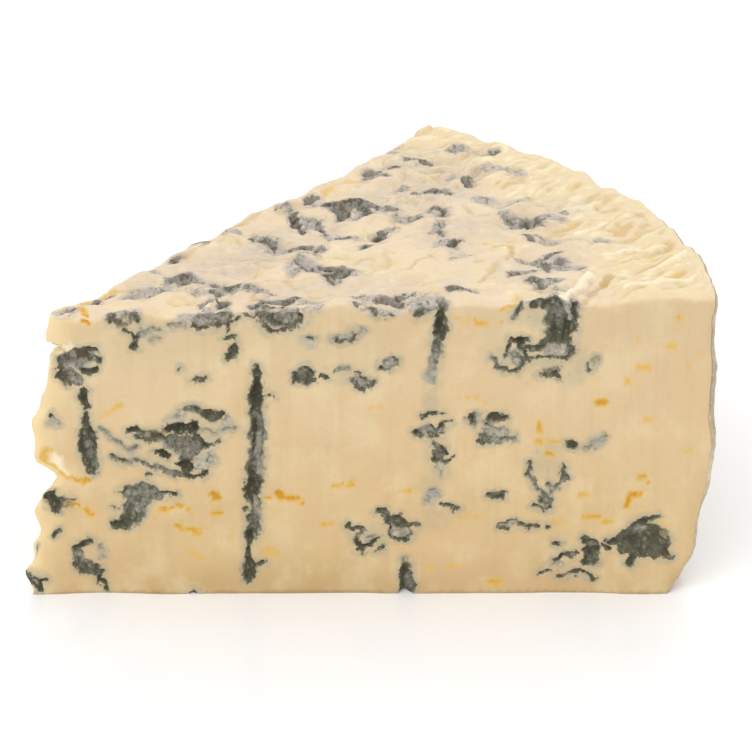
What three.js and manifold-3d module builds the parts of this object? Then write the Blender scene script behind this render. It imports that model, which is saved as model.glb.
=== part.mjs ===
// A wedge of blue cheese, cut from one half of a wheel that was split flat through its middle.
// Millimetres, +Z up. The top is the torn middle of the wheel, the bottom is its flat rind and
// the curved side is its rind. The front cut faces -Y, the tip points to -X.
// The origin ends up under the middle of the wedge, on the surface it stands on.

import * as THREE from 'three';
import { mergeVertices } from 'three/addons/utils/BufferGeometryUtils.js';
import Module from 'manifold-3d';

// Driving dimensions of the wedge
const WHEEL_RADIUS = 100.4;
const WEDGE_ANGLE = THREE.MathUtils.degToRad(54);
const RIND_HEIGHT = 50;
const TIP_HEIGHT = 46.5;

// The blunt, crumbled tip: how far it stands out past the middle of the wheel, and how wide it is
const TIP_REACH_TOP = 1.3;
const TIP_REACH_BOTTOM = 5.5;
const TIP_WIDTH_TOP = 3.2;
const TIP_WIDTH_BOTTOM = 5;
const TIP_SLANT = 0.35;
const TIP_LIP = { height: 27, reach: 1.6, spread: 5 };
const TIP_BITE = { height: 20, reach: -2.4, spread: 2.6 };

// The rind side: flatter than a true circle, drawn in towards its lower edge, which is rounded
const RIND_FLATTENING = 1.3;
const RIND_TUCK = { reach: 2.2, from: 22, to: 9 };
const LOWER_EDGE = { height: 5, reach: 3 };
const CHIPPED_CORNER = { reach: 1.6, from: 8.4, to: 2.4, width: 9 };

// Relief of each surface: how far it stands in and out, and over what distance
const CUT_RELIEF = { rise: 0.3, size: 19 };
const TOP_RELIEF = { rise: 0.55, size: 11 };
const TOP_CRAGS = { rise: 0.3, size: 5.5 };
const RIND_RELIEF = { rise: 0.45, size: 15 };
const TIP_RELIEF = { rise: 0.9, size: 7 };
const RELIEF_DEPTH = 5;

// How finely the surfaces are divided
const LENGTH_STEPS = 34;
const HEIGHT_STEPS = 13;
const HEIGHT_CROWDING = 1.25;
const RIND_STEPS = 28;

// Pockets and ridges are swept rods with this many sides, roughened by this share of their width.
// A pocket stands off from its face so that it opens through the relief.
const POCKET_SIDES = 7;
const POCKET_ROUGHNESS = 0.2;
const POCKET_STANDOFF = 1.7;
const POCKET_END = 0.75;

// Pockets in the front cut: depth, then [distance from the tip, height, half width] at each bend
const FRONT_POCKETS = {
  tipCave: [2.4, [0.2, 39.6, 1.2], [2.4, 39.6, 1.9], [5, 39.2, 1.4]],
  tipCaveFoot: [1.6, [0.6, 36.6, 1], [2.8, 36.4, 1]],
  shortChannel: [1.9, [3.8, 34, 0.8], [4.1, 30, 0.6], [4.1, 26, 1.4], [4.5, 23, 1.2], [4.6, 20.8, 0.6]],
  starCave: [3, [16.8, 25.6, 1.4], [19.4, 25.2, 2], [21, 25.2, 1.2]],
  starCaveRoof: [4, [16.2, 27.8, 0.6], [18.2, 28.1, 1.1], [20.2, 28.4, 0.9]],
  starCaveFloor: [3, [19, 23.2, 1.2], [19.1, 21.2, 0.8]],
  starCaveTail: [1.4, [10.6, 27.6, 0.5], [13.4, 27.3, 0.7], [15.8, 26.6, 0.8]],
  starCaveCloud: [1, [20.4, 31.2, 0.6], [23.2, 30.2, 0.9]],
  greyHollow: [1.4, [13.4, 17.4, 1.4], [11.6, 16.4, 2], [10.6, 13.2, 1.6], [8.2, 12.4, 1]],
  cornerHook: [1.6, [4.2, 8.9, 0.5], [2, 7.6, 0.7], [2.4, 5.2, 0.7], [4.6, 4.4, 0.9], [5.6, 2.4, 0.5]],
  tipHollow: [1.4, [-1.6, 16, 1.2], [-0.2, 15.6, 1.1]],
  edgePatch: [1.5, [21.8, 46.4, 1.2], [24.6, 46.2, 1.4]],
  edgeCave: [3, [30.6, 47.4, 0.9], [33.4, 48, 1.2], [36.2, 47.8, 0.9]],
  edgeCaveLip: [1.6, [31.4, 45.8, 0.9], [34, 45.4, 1.3], [36.8, 46.2, 0.8]],
  channelUpper: [2.2, [30.3, 38.4, 0.5], [30.1, 33, 1.1], [30.2, 27.6, 1.4], [29.7, 20, 1.3], [29.6, 15.6, 0.9]],
  channelLower: [2.1, [29.5, 13.8, 0.8], [29.2, 11, 1.1], [28.6, 7.8, 0.5], [28.8, 4.6, 0.9], [28.7, 2.2, 0.8]],
  knot: [1, [36.6, 36.6, 0.9], [38.6, 36.4, 1]],
  eyebrow: [1, [44.4, 36.8, 0.5], [46.2, 35.8, 0.9], [47.8, 35.4, 0.5]],
  leaf: [0.9, [49.2, 38, 0.4], [50.8, 38.4, 0.8]],
  brownCave: [3, [48.2, 49.3, 0.7], [50.2, 49.6, 1], [52.2, 49.8, 0.8]],
  rightChannel: [2.4, [58.4, 48.4, 1], [58, 44.4, 1], [57.5, 41, 0.7], [57.1, 38, 0.4]],
  bird: [1, [54.6, 27.2, 0.7], [57.2, 27.4, 0.8], [59.2, 28.6, 0.4]],
  birdFoot: [1.2, [58.2, 25, 0.7], [57.8, 23, 0.6]],
  hatch: [1.4, [49.4, 14, 0.6], [51.4, 12.6, 1.1], [53, 11.4, 0.6]],
  hatchFoot: [1, [44.4, 11, 0.6], [46, 8.4, 0.6], [47.6, 8.4, 0.5]],
  floorChannel: [2, [52.9, 4, 0.8], [53, 2, 1.2], [53.1, -1, 1.3]],
  bigPatch: [3, [73.4, 47.8, 0.9], [76.2, 47.4, 1.6], [76.4, 44.4, 1.9], [75.2, 42.2, 1.3], [72.6, 41, 0.6]],
  bigPatchSide: [1.6, [78.4, 47.6, 0.8], [78, 43.6, 1], [77.7, 40.4, 0.8]],
  blackCave: [3.6, [70.2, 42.5, 0.9], [69, 41.2, 0.6], [68.2, 39.6, 0.4]],
  smallCloud: [0.9, [74, 36.9, 0.5], [75.8, 37.2, 0.7]],
  helmet: [1.4, [63.2, 29.4, 0.8], [65.6, 27.6, 0.9], [68.6, 27, 0.9]],
  bead: [1, [78, 25.5, 0.7], [78.8, 24.9, 0.7]],
  antlerFoot: [0.9, [74, 17, 0.5], [74.4, 15.4, 1]],
  seed: [1, [66, 16.8, 0.6], [67.6, 16.8, 0.6]],
  roundPatch: [1.5, [86.4, 8.6, 2.4], [88.8, 9.2, 3.5], [91.4, 8.2, 2.4]],
  roundPatchNeighbour: [1.6, [81, 9, 0.9], [81.6, 7, 1.5], [81.2, 5.8, 1]],
};

// Pockets in the torn top: depth, then [distance from the tip, distance from the front, half width]
const TOP_POCKETS = {
  ringCavity: [2.4, [17, 14, 1.4], [19.6, 12.8, 2], [22.4, 12, 1.6]],
  ringCavityLeft: [1.2, [11, 7.4, 0.7], [13.6, 9.4, 0.9], [16, 9.6, 1.1]],
  ringCavityRight: [1.2, [24, 9.8, 1.1], [27, 8.2, 1], [31.4, 7, 0.7]],
  flakeHole: [3, [24.8, 1, 0.9], [25, 3.6, 0.8]],
  edgeCaveTop: [3, [30.6, 1.2, 1], [33, 2.2, 1.5], [35.6, 2.6, 1.2]],
  middleHollow: [3, [41.6, 16.6, 1.3], [43.4, 14.4, 2], [42.8, 11.6, 1.3]],
  middleMottle: [1.4, [36.6, 19, 1], [38.6, 16.4, 1.4]],
  brownPit: [1.8, [35.6, 24.8, 0.7], [37.4, 24.6, 1]],
  slantedRow: [1.2, [29.4, 29, 0.7], [31.6, 27.6, 0.9], [34.4, 24.4, 0.7]],
  deepSlot: [4, [35.2, 40.4, 0.7], [35.5, 38, 1], [35.8, 35.8, 0.7]],
  deepSlotSide: [1.2, [38, 37.4, 1.3], [37.6, 33.6, 1.2], [36.8, 31.2, 0.7]],
  backCave: [4.5, [42.9, 41.6, 1.6], [42.9, 38.4, 1.2]],
  backCaveRoof: [3.4, [40.4, 44.4, 1.2], [43.6, 42.8, 1.7], [47.6, 43.4, 1]],
  backCaveSide: [1.2, [47, 41, 1.3], [45.2, 37.8, 0.8]],
  edgeNotch: [2, [36.6, 47, 1], [38.4, 48.4, 1.2]],
  slot: [4, [49.5, 31.6, 0.8], [48.9, 28.4, 0.8]],
  brownCaveTop: [3, [48.4, 2, 0.9], [50.8, 3, 1.4], [52, 4.4, 0.8]],
  beadRow: [1, [53.6, 37.4, 1], [56.4, 39.8, 0.7], [59, 39.2, 0.9]],
  cloud: [1, [56, 47.2, 1.2], [59, 47.8, 1]],
  smallPit: [2, [47, 58.2, 1], [48.4, 59.2, 1]],
  farPit: [2.4, [54.6, 63.8, 0.7], [56.4, 63.1, 0.9]],
  farCloud: [1, [60.8, 67.4, 1.1], [62.6, 68.2, 0.8]],
  comma: [1.2, [62.9, 55.4, 0.6], [63.4, 52.2, 0.8]],
  broadHollow: [1.8, [69.6, 35.8, 1.1], [71, 33, 1.8], [73.8, 32.6, 1.5]],
  forked: [1.6, [76.4, 19.6, 1.1], [74.6, 16.6, 1.5], [74.4, 13.8, 0.9]],
  forkedBead: [1.2, [79, 12, 0.7], [79.6, 11.4, 0.8]],
  nearHollow: [2, [72.6, 7.6, 1.1], [73.8, 6, 1.1]],
  nearSeed: [1.6, [60.2, 4.6, 0.8], [62, 4.8, 0.9]],
};

// Ridges that stand up from the torn top: how far they rise, then [x, y, half width] at each bend
const TOP_RIDGES = {
  liftedFlake: [0.9, [22.4, 0.8, 0.5], [23.6, 1.4, 0.9], [24, 3.4, 0.5]],
  edgeCrag: [1.3, [33.4, 42, 1.1], [35.4, 45.2, 1.3]],
  farPeak: [1, [55.6, 76, 0.9], [57.2, 77.6, 0.9]],
  liftedFlap: [1.2, [78.2, 0.6, 0.7], [80, 4.4, 1], [81.8, 8.4, 0.8]],
  nearFold: [0.6, [86, 2.6, 0.8], [92, 5, 1.1], [97, 7.6, 0.6]],
  middleFold: [0.6, [85.6, 8.6, 0.7], [91, 12, 1], [96, 14.6, 0.6]],
  farFold: [0.6, [83, 16.4, 0.6], [88.4, 19.4, 0.9], [93.6, 22, 0.6]],
};
const RIDGE_FOOT = 1.5;

// The back cut has needle channels at their usual spacing and flat pockets between them, placed by
// a seeded draw. A pair is the least and the most that is drawn; top and foot are heights.
const BACK_CHANNELS = {
  count: 3,
  spacing: 24,
  first: 17,
  drift: 3,
  halfWidth: [0.7, 1.4],
  depth: 2,
  top: [35, 50],
  foot: [0, 15],
};
const BACK_POCKETS = {
  count: 15,
  along: [8, 84],
  heights: [5, 44],
  reach: [1.5, 3.5],
  slant: [-0.6, 0.6],
  halfWidth: [0.7, 1.5],
  depth: [1, 2.6],
};
const BACK_SEED = 11;
const ROUGHNESS_SEED = 7;

// A slit that passes right through the thin tip
const TIP_SLIT = { height: 41, halfHeight: 0.8, from: -4, to: 0.4, start: -2, end: 7 };

// A small repeatable random draw between least and most
function makeDraw(seed) {
  let state = seed;
  return ([least, most]) => {
    state = (state * 16807) % 2147483647;
    return least + ((most - least) * state) / 2147483647;
  };
}

// Smooth irregular relief between about -1 and 1: five waves, each turned by about the golden
// angle from the last and a little longer
function ripple(point, size, seed) {
  let sum = 0;
  for (let k = 0; k < 5; k += 1) {
    const turn = 2.4 * (k + seed);
    const tilt = 1.3 * Math.sin(1.7 * k + seed);
    const along = point.x * Math.cos(turn) + point.y * Math.sin(turn) + point.z * tilt;
    const wavelength = size * (0.75 + 0.16 * k);
    sum += Math.sin((2 * Math.PI * along) / wavelength + 2.1 * k * seed);
  }
  return sum / 2.6;
}

const smooth = (t) => THREE.MathUtils.smoothstep(t, 0, 1);
const bump = (t, spread) => Math.exp(-((t / spread) ** 2));

// Height of the top over a place at x from the tip
function topHeight(x) {
  return TIP_HEIGHT + ((RIND_HEIGHT - TIP_HEIGHT) * x) / WHEEL_RADIUS;
}

// Radius of the rind at a share of the wedge's angle and a height
function rindRadius(share, height) {
  const sunk = ({ reach, from, to }) => reach * smooth((from - height) / (from - to));
  const flat = RIND_FLATTENING * Math.sin(Math.PI * share);
  const below = THREE.MathUtils.clamp(1 - height / LOWER_EDGE.height, 0, 1);
  const rounding = LOWER_EDGE.reach * (1 - Math.sqrt(1 - below ** 2));
  const chip = sunk(CHIPPED_CORNER) * bump(share * WHEEL_RADIUS * WEDGE_ANGLE, CHIPPED_CORNER.width);
  return WHEEL_RADIUS - flat - sunk(RIND_TUCK) - rounding - chip;
}

// How far the tip stands out past the middle of the wheel at a height
function tipReach(height) {
  const down = 1 - height / TIP_HEIGHT;
  const lean = THREE.MathUtils.lerp(TIP_REACH_TOP, TIP_REACH_BOTTOM, down);
  const lip = TIP_LIP.reach * bump(height - TIP_LIP.height, TIP_LIP.spread);
  const bite = TIP_BITE.reach * bump(height - TIP_BITE.height, TIP_BITE.spread);
  return lean + lip + bite;
}

// A point of the even surface: u runs from tip to rind, v from front to back, w from bottom to top
function evenPoint(u, v, w) {
  const tipWidth = THREE.MathUtils.lerp(TIP_WIDTH_BOTTOM, TIP_WIDTH_TOP, w);
  const reach = tipReach(w * TIP_HEIGHT);
  const tip = new THREE.Vector3(TIP_SLANT * tipWidth * v - reach, tipWidth * v, 0);
  const radius = rindRadius(v, w * RIND_HEIGHT);
  const angle = WEDGE_ANGLE * v;
  const rim = new THREE.Vector3(radius * Math.cos(angle), radius * Math.sin(angle), 0);
  const place = tip.lerp(rim, u);
  return place.setZ(w * topHeight(place.x));
}

// The same point with the relief of the surfaces that are near it
function surfacePoint(u, v, w) {
  const place = evenPoint(u, v, w);
  const angle = WEDGE_ANGLE * v;
  const front = new THREE.Vector3(0, -1, 0);
  const back = new THREE.Vector3(-Math.sin(WEDGE_ANGLE), Math.cos(WEDGE_ANGLE), 0);
  const out = new THREE.Vector3(Math.cos(angle), Math.sin(angle), 0);
  const width = place.length() * WEDGE_ANGLE;
  const near = (distance) => Math.exp(-distance / RELIEF_DEPTH);
  const relief = new THREE.Vector3();
  const push = (direction, distance, form, seed) => {
    relief.addScaledVector(direction, near(distance) * form.rise * ripple(place, form.size, seed));
  };
  push(front, v * width, CUT_RELIEF, 1);
  push(back, (1 - v) * width, CUT_RELIEF, 2);
  push(out, (1 - u) * WHEEL_RADIUS, RIND_RELIEF, 3);
  push(new THREE.Vector3(-1, 0, 0), u * WHEEL_RADIUS, TIP_RELIEF, 4);
  push(new THREE.Vector3(0, 0, 1), (1 - w) * RIND_HEIGHT, TOP_RELIEF, 5);
  push(new THREE.Vector3(0, 0, 1), (1 - w) * RIND_HEIGHT, TOP_CRAGS, 6);
  if (w === 0) relief.z = 0;
  return place.add(relief);
}

// Triangles between two rows of points that may differ in number
function joinRows(triangles, rowA, rowB, flip) {
  const endA = rowA.length - 1;
  const endB = rowB.length - 1;
  let a = 0;
  let b = 0;
  while (a < endA || b < endB) {
    const stepA = b === endB || (a < endA && (a + 1) / endA <= (b + 1) / endB);
    const third = stepA ? rowA[a + 1] : rowB[b + 1];
    const corners = [rowA[a], rowB[b], third];
    if (flip) corners.reverse();
    triangles.push(...corners);
    if (stepA) a += 1;
    else b += 1;
  }
}

function joinSheet(triangles, rows, flip) {
  for (let k = 0; k + 1 < rows.length; k += 1) joinRows(triangles, rows[k], rows[k + 1], flip);
}

// Shares from 0 to 1 in equal steps
const shares = (steps) => Array.from({ length: steps + 1 }, (_, k) => k / steps);

// The whole wedge without its pockets
function wedgeSolid(makeSolid) {
  const triangles = [];
  const lengths = shares(LENGTH_STEPS);
  const heights = shares(HEIGHT_STEPS).map((share) => share ** HEIGHT_CROWDING);
  const across = (u) => shares(Math.max(2, Math.round(RIND_STEPS * u)));
  const front = lengths.map((u) => heights.map((w) => surfacePoint(u, 0, w)));
  const back = lengths.map((u) => heights.map((w) => surfacePoint(u, 1, w)));
  const tip = across(0).map((v) => heights.map((w) => surfacePoint(0, v, w)));
  const rind = across(1).map((v) => heights.map((w) => surfacePoint(1, v, w)));
  const top = lengths.map((u) => across(u).map((v) => surfacePoint(u, v, 1)));
  joinSheet(triangles, front, false);
  joinSheet(triangles, back, true);
  joinSheet(triangles, tip, true);
  joinSheet(triangles, rind, false);
  joinSheet(triangles, top, false);

  const outline = [
    ...lengths.map((u) => surfacePoint(u, 0, 0)),
    ...across(1).slice(1).map((v) => surfacePoint(1, v, 0)),
    ...lengths.slice(0, -1).reverse().map((u) => surfacePoint(u, 1, 0)),
    ...across(0).slice(1, -1).reverse().map((v) => surfacePoint(0, v, 0)),
  ];
  const flat = outline.map((p) => new THREE.Vector2(p.x, p.y));
  for (const face of THREE.ShapeUtils.triangulateShape(flat, [])) {
    const corners = face.map((index) => outline[index]);
    triangles.push(...corners.reverse());
  }
  return makeSolid(triangles);
}

// A rough rod swept along bends on a face, which reaches depth into it and rise out of it.
// place(a, b, deep) turns face coordinates into a point.
function sweptSolid(makeSolid, place, depth, rise, bends, draw) {
  const first = bends[0];
  const last = bends[bends.length - 1];
  const rings = bends.map(([a, b, half], index) => {
    const before = bends[Math.max(0, index - 1)];
    const after = bends[Math.min(bends.length - 1, index + 1)];
    const run = new THREE.Vector2(after[0] - before[0], after[1] - before[1]).normalize();
    return shares(POCKET_SIDES).slice(0, -1).map((share) => {
      const turn = share * 2 * Math.PI;
      const rough = 1 + draw([-POCKET_ROUGHNESS, POCKET_ROUGHNESS]);
      const side = half * Math.cos(turn) * rough;
      const deep = Math.sin(turn) * rough;
      const sunk = deep > 0 ? deep * depth : deep * rise;
      return place(a - run.y * side, b + run.x * side, sunk);
    });
  });
  const pole = (end, other) => {
    const run = new THREE.Vector2(end[0] - other[0], end[1] - other[1]).setLength(POCKET_END * end[2]);
    return place(end[0] + run.x, end[1] + run.y, 0.25 * (depth - rise));
  };
  const start = pole(first, bends[1]);
  const finish = pole(last, bends[bends.length - 2]);
  const triangles = [];
  for (let side = 0; side < POCKET_SIDES; side += 1) {
    const next = (side + 1) % POCKET_SIDES;
    triangles.push(start, rings[0][side], rings[0][next]);
    triangles.push(finish, rings[rings.length - 1][next], rings[rings.length - 1][side]);
    for (let k = 0; k + 1 < rings.length; k += 1) {
      triangles.push(rings[k][side], rings[k + 1][side], rings[k + 1][next]);
      triangles.push(rings[k][side], rings[k + 1][next], rings[k][next]);
    }
  }
  return makeSolid(triangles);
}

// Face coordinates of the front cut, the top and the back cut, each a left-handed set
const onFront = (x, z, deep) => new THREE.Vector3(x, deep, z);
const onTop = (x, y, deep) => new THREE.Vector3(x, y, topHeight(x) - deep);
function onBack(z, along, deep) {
  const inward = new THREE.Vector3(Math.sin(WEDGE_ANGLE), -Math.cos(WEDGE_ANGLE), 0);
  return evenPoint(along / WHEEL_RADIUS, 1, z / RIND_HEIGHT).setZ(z).addScaledVector(inward, deep);
}

// Bends of the pockets in the back cut: upright needle channels, then flat pockets whose heights
// are spread by the golden ratio
function backPockets(draw) {
  const pockets = [];
  for (let k = 0; k < BACK_CHANNELS.count; k += 1) {
    const along = BACK_CHANNELS.first + BACK_CHANNELS.spacing * k + draw([0, BACK_CHANNELS.drift]);
    const top = draw(BACK_CHANNELS.top);
    const foot = draw(BACK_CHANNELS.foot);
    const bends = shares(3).map((share) => [
      THREE.MathUtils.lerp(top, foot, share),
      along + draw([-0.5, 0.5]),
      draw(BACK_CHANNELS.halfWidth),
    ]);
    pockets.push([BACK_CHANNELS.depth, ...bends]);
  }
  for (let k = 0; k < BACK_POCKETS.count; k += 1) {
    const step = (k + draw([0, 1])) / BACK_POCKETS.count;
    const along = THREE.MathUtils.lerp(...BACK_POCKETS.along, step);
    const height = THREE.MathUtils.lerp(...BACK_POCKETS.heights, (k * 0.618 + draw([0, 0.2])) % 1);
    const reach = draw(BACK_POCKETS.reach);
    const climb = reach * draw(BACK_POCKETS.slant);
    const half = draw(BACK_POCKETS.halfWidth);
    pockets.push([
      draw(BACK_POCKETS.depth),
      [height - climb, along - reach, half * 0.7],
      [height + draw([-0.3, 0.3]), along, half],
      [height + climb, along + reach, half * 0.6],
    ]);
  }
  return pockets;
}

// The slit through the tip, swept from front to back
function tipSlit(makeSolid, draw) {
  const middle = (TIP_SLIT.from + TIP_SLIT.to) / 2;
  const half = (TIP_SLIT.to - TIP_SLIT.from) / 2;
  const bends = [[TIP_SLIT.start, middle, half], [TIP_SLIT.end, middle, half]];
  const across = (y, x, deep) => {
    return new THREE.Vector3(x, y, TIP_SLIT.height + deep * TIP_SLIT.halfHeight);
  };
  return sweptSolid(makeSolid, across, 1, 1, bends, draw);
}

// Closed triangles to a solid that can be cut, and back to a three.js geometry
async function loadSolids() {
  const wasm = await Module();
  wasm.setup();
  return (points) => {
    const positions = points.flatMap((point) => point.toArray());
    const loose = new THREE.BufferGeometry();
    loose.setAttribute('position', new THREE.Float32BufferAttribute(positions, 3));
    const merged = mergeVertices(loose, 1e-4);
    return new wasm.Manifold(
      new wasm.Mesh({
        numProp: 3,
        vertProperties: merged.attributes.position.array,
        triVerts: new Uint32Array(merged.index.array),
      })
    );
  };
}

function toGeometry(solid) {
  const mesh = solid.getMesh();
  const geometry = new THREE.BufferGeometry();
  geometry.setAttribute('position', new THREE.Float32BufferAttribute(mesh.vertProperties, 3));
  geometry.setIndex(Array.from(mesh.triVerts));
  return geometry;
}

// The wedge with its ridges added, every pocket cut out and loose scraps dropped, moved to stand
// over the origin
function cheeseGeometry(makeSolid) {
  const draw = makeDraw(ROUGHNESS_SEED);
  let solid = wedgeSolid(makeSolid);
  const cut = (place, pockets) => {
    for (const [depth, ...bends] of pockets) {
      const pocket = sweptSolid(makeSolid, place, depth, POCKET_STANDOFF, bends, draw);
      solid = solid.subtract(pocket);
    }
  };
  for (const [rise, ...bends] of Object.values(TOP_RIDGES)) {
    solid = solid.add(sweptSolid(makeSolid, onTop, RIDGE_FOOT, rise, bends, draw));
  }
  cut(onFront, Object.values(FRONT_POCKETS));
  cut(onTop, Object.values(TOP_POCKETS));
  cut(onBack, backPockets(makeDraw(BACK_SEED)));
  solid = solid.subtract(tipSlit(makeSolid, draw));
  const pieces = solid.decompose().sort((a, b) => b.volume() - a.volume());
  const geometry = toGeometry(pieces[0]);
  geometry.computeBoundingBox();
  const middle = geometry.boundingBox.getCenter(new THREE.Vector3());
  geometry.translate(-middle.x, -middle.y, 0);
  geometry.computeVertexNormals();
  return geometry;
}

const paste = new THREE.MeshStandardMaterial({ color: 0xe6cd9b, roughness: 0.55, metalness: 0 });

const group = new THREE.Group();
const makeSolid = await loadSolids();
const wedge = new THREE.Mesh(cheeseGeometry(makeSolid), paste);
wedge.name = 'cheese_wedge';
group.add(wedge);

export default group;
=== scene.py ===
import math

import bpy
import numpy as np
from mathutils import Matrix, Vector, noise


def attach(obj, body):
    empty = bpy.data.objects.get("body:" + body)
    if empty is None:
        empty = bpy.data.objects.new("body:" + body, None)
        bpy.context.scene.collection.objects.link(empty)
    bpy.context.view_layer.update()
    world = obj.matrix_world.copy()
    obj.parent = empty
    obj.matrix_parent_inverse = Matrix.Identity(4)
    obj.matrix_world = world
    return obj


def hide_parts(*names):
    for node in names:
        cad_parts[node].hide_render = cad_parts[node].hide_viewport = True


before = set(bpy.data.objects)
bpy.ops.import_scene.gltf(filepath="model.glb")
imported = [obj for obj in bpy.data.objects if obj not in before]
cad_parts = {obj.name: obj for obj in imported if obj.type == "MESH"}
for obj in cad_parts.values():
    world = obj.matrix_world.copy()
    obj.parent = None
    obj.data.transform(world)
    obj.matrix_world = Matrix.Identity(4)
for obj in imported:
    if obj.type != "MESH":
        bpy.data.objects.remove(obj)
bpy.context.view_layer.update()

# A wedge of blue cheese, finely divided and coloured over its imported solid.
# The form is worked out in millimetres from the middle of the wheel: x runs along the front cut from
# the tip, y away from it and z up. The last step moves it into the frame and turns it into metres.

NODE = "cheese_wedge"
MM = 0.001

# Driving dimensions, the same as those of the solid
WHEEL_RADIUS = 100.4
WEDGE_ANGLE = math.radians(54)
RIND_HEIGHT = 50
TIP_HEIGHT = 46.5
TIP_REACH_TOP = 1.3
TIP_REACH_BOTTOM = 5.5
TIP_WIDTH_TOP = 3.2
TIP_WIDTH_BOTTOM = 5
TIP_SLANT = 0.35
TIP_LIP = dict(height=27, reach=1.6, spread=5)
TIP_BITE = dict(height=20, reach=-2.4, spread=2.6)
TIP_SLIT = dict(height=41, half=0.8, depth=2.3)
RIND_FLATTENING = 1.3
RIND_TUCK = dict(reach=2.2, start=22, end=9)
LOWER_EDGE = dict(height=5, reach=3)
CHIPPED_CORNER = dict(reach=1.6, start=8.4, end=2.4)
CHIPPED_CORNER_WIDTH = 9
RELIEF_DEPTH = 5
CUT_RELIEF = (0.3, 19)
RIND_RELIEF = (0.45, 15)
TIP_RELIEF = (0.9, 7)
TOP_RELIEF = (0.55, 11)
TOP_CRAGS = (0.3, 5.5)
LENGTH_STEPS = 34
HEIGHT_STEPS = 13
HEIGHT_CROWDING = 1.25
RIND_STEPS = 28

# The solid's ripples, each a sum of waves that differ in length, turn and tilt, and its random draws
RIPPLE = dict(
    waves=5, turn=2.4, tilt=1.3, tilt_step=1.7, shortest=0.75, growth=0.16, shift=2.1, evening=2.6
)
DRAW_FACTOR = 16807
DRAW_LIMIT = 2147483647

# Longest edge of the fine surface on each face, in mould, by the rims and on the folds and ridges,
# and how fast it grows away from there
SHEETS = ["front", "back", "tip", "rind", "top", "bottom"]
EDGE_LENGTH = dict(front=1.5, top=0.86, tip=0.8, back=3, rind=2.4, bottom=6)
MOULD_EDGE_LENGTH = dict(front=0.4, top=0.43, back=0.8)
MOULD_MARGIN = 0.3
RIM_EDGE_LENGTH = 0.75
RIM_WIDTH = 0.8
FOLD_EDGE_LENGTH = 0.66
FOLD_START = 83
EDGE_GROWTH = 0.5
REFINING_ROUNDS = 14

# The rims between faces, rounded by this many small moves
RIM_ROUNDING = dict(rounds=12, pull=0.6, reach=1.2, width=2.2, floor_width=0.5)

# How far from a face its pockets and relief still move the wedge, how much faster a stroke narrows
# under its face than beside it, and the slopes and edges of its pockets and colours
POCKET_REACH = 7.0
FAR = 3.0
UNDER_STRETCH = 1.5
HOLLOW_SHARE = 0.9
HOLLOW_ROUNDING = 0.8
STEEPEST = 1.5
PAINT_EDGE = dict(margin=0.35, run=0.4)
THIN_EDGE = dict(margin=0.3, run=0.5)
BLOOM_SLOPE = 1.6
THIN_DEPTH = 0.35
NEARNESS_POWER = 6
SLIT_REACH = 5
SLIT_WAVER = 0.3

# Grain finer than the solid's: rise, size and seed of each layer
TORN_GRAIN = [(0.2, 4.2, 1), (0.2, 1.9, 4), (0.1, 1.1, 5)]
CUT_GRAIN = [(0.1, 3, 7), (0.05, 0.9, 8)]
RIND_GRAIN = [(0.35, 4, 9), (0.15, 1.4, 10)]
STROKE_BENDS = [(0.55, 1.7, 0), (0.3, 0.6, 2)]
STROKE_SEEDS = (11, 12)
GRAIN_SHIFT = (7.3, 3.1, 5.7)

# Tears of the torn top and the patches that have them, its folds near the rind, how fast its grain
# fades below it and how calm it is by its rims
TEARS = dict(depth=0.25, size=5.5, seed=2, width=0.09)
TEAR_PATCHES = dict(size=14, seed=3, slope=3, start=0.6)
FOLDS = dict(
    turn=math.radians(49),
    size=1.5,
    seed=6,
    length=6,
    bend=1.2,
    bend_size=9,
    bend_seed=14,
    height=0.28,
    level=0.6,
    slope=2.4,
    start=78,
    run=9,
    tone=1.2,
)
TOP_FADE = 1.5
CALM_RIM = dict(width=3.5, torn=0.35, folds=0.3)

# The rind's grain is full this far over the floor, and the underside's colour fades up the cuts by this
# slope
RIND_FOOT = 3
UNDERSIDE_SLOPE = 1.5

# Rounded lumps inside the mould, which also set its painted light on lump tops and painted shade between
# them
LUMPS = dict(
    size=1.25,
    roundness=1.7,
    level=0.4,
    rise=1.6,
    grain_size=0.95,
    grain_rise=0.6,
    seed=21,
    height=0.14,
    margin=0.3,
)

# Colours of the mould as they look in the photo's light, then the softness of its edge: black, and dark in
# part, are painted shade in deep caves, and brown is painted shade on the paste inside them
PIGMENTS_AND_CAVE_SHADE = dict(
    black=(0.31, 0.30, 0.23, 0.09),
    dark=(0.39, 0.38, 0.30, 0.1),
    grey=(0.56, 0.55, 0.49, 0.15),
    ash=(0.65, 0.63, 0.57, 0.17),
    pale=(0.73, 0.71, 0.67, 0.3),
    brown=(0.42, 0.365, 0.30, 0.1),
    olive=(0.60, 0.56, 0.42, 0.25),
    blue=(0.63, 0.65, 0.63, 0.3),
    clear=(0.56, 0.55, 0.49, 0.2),
)
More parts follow.
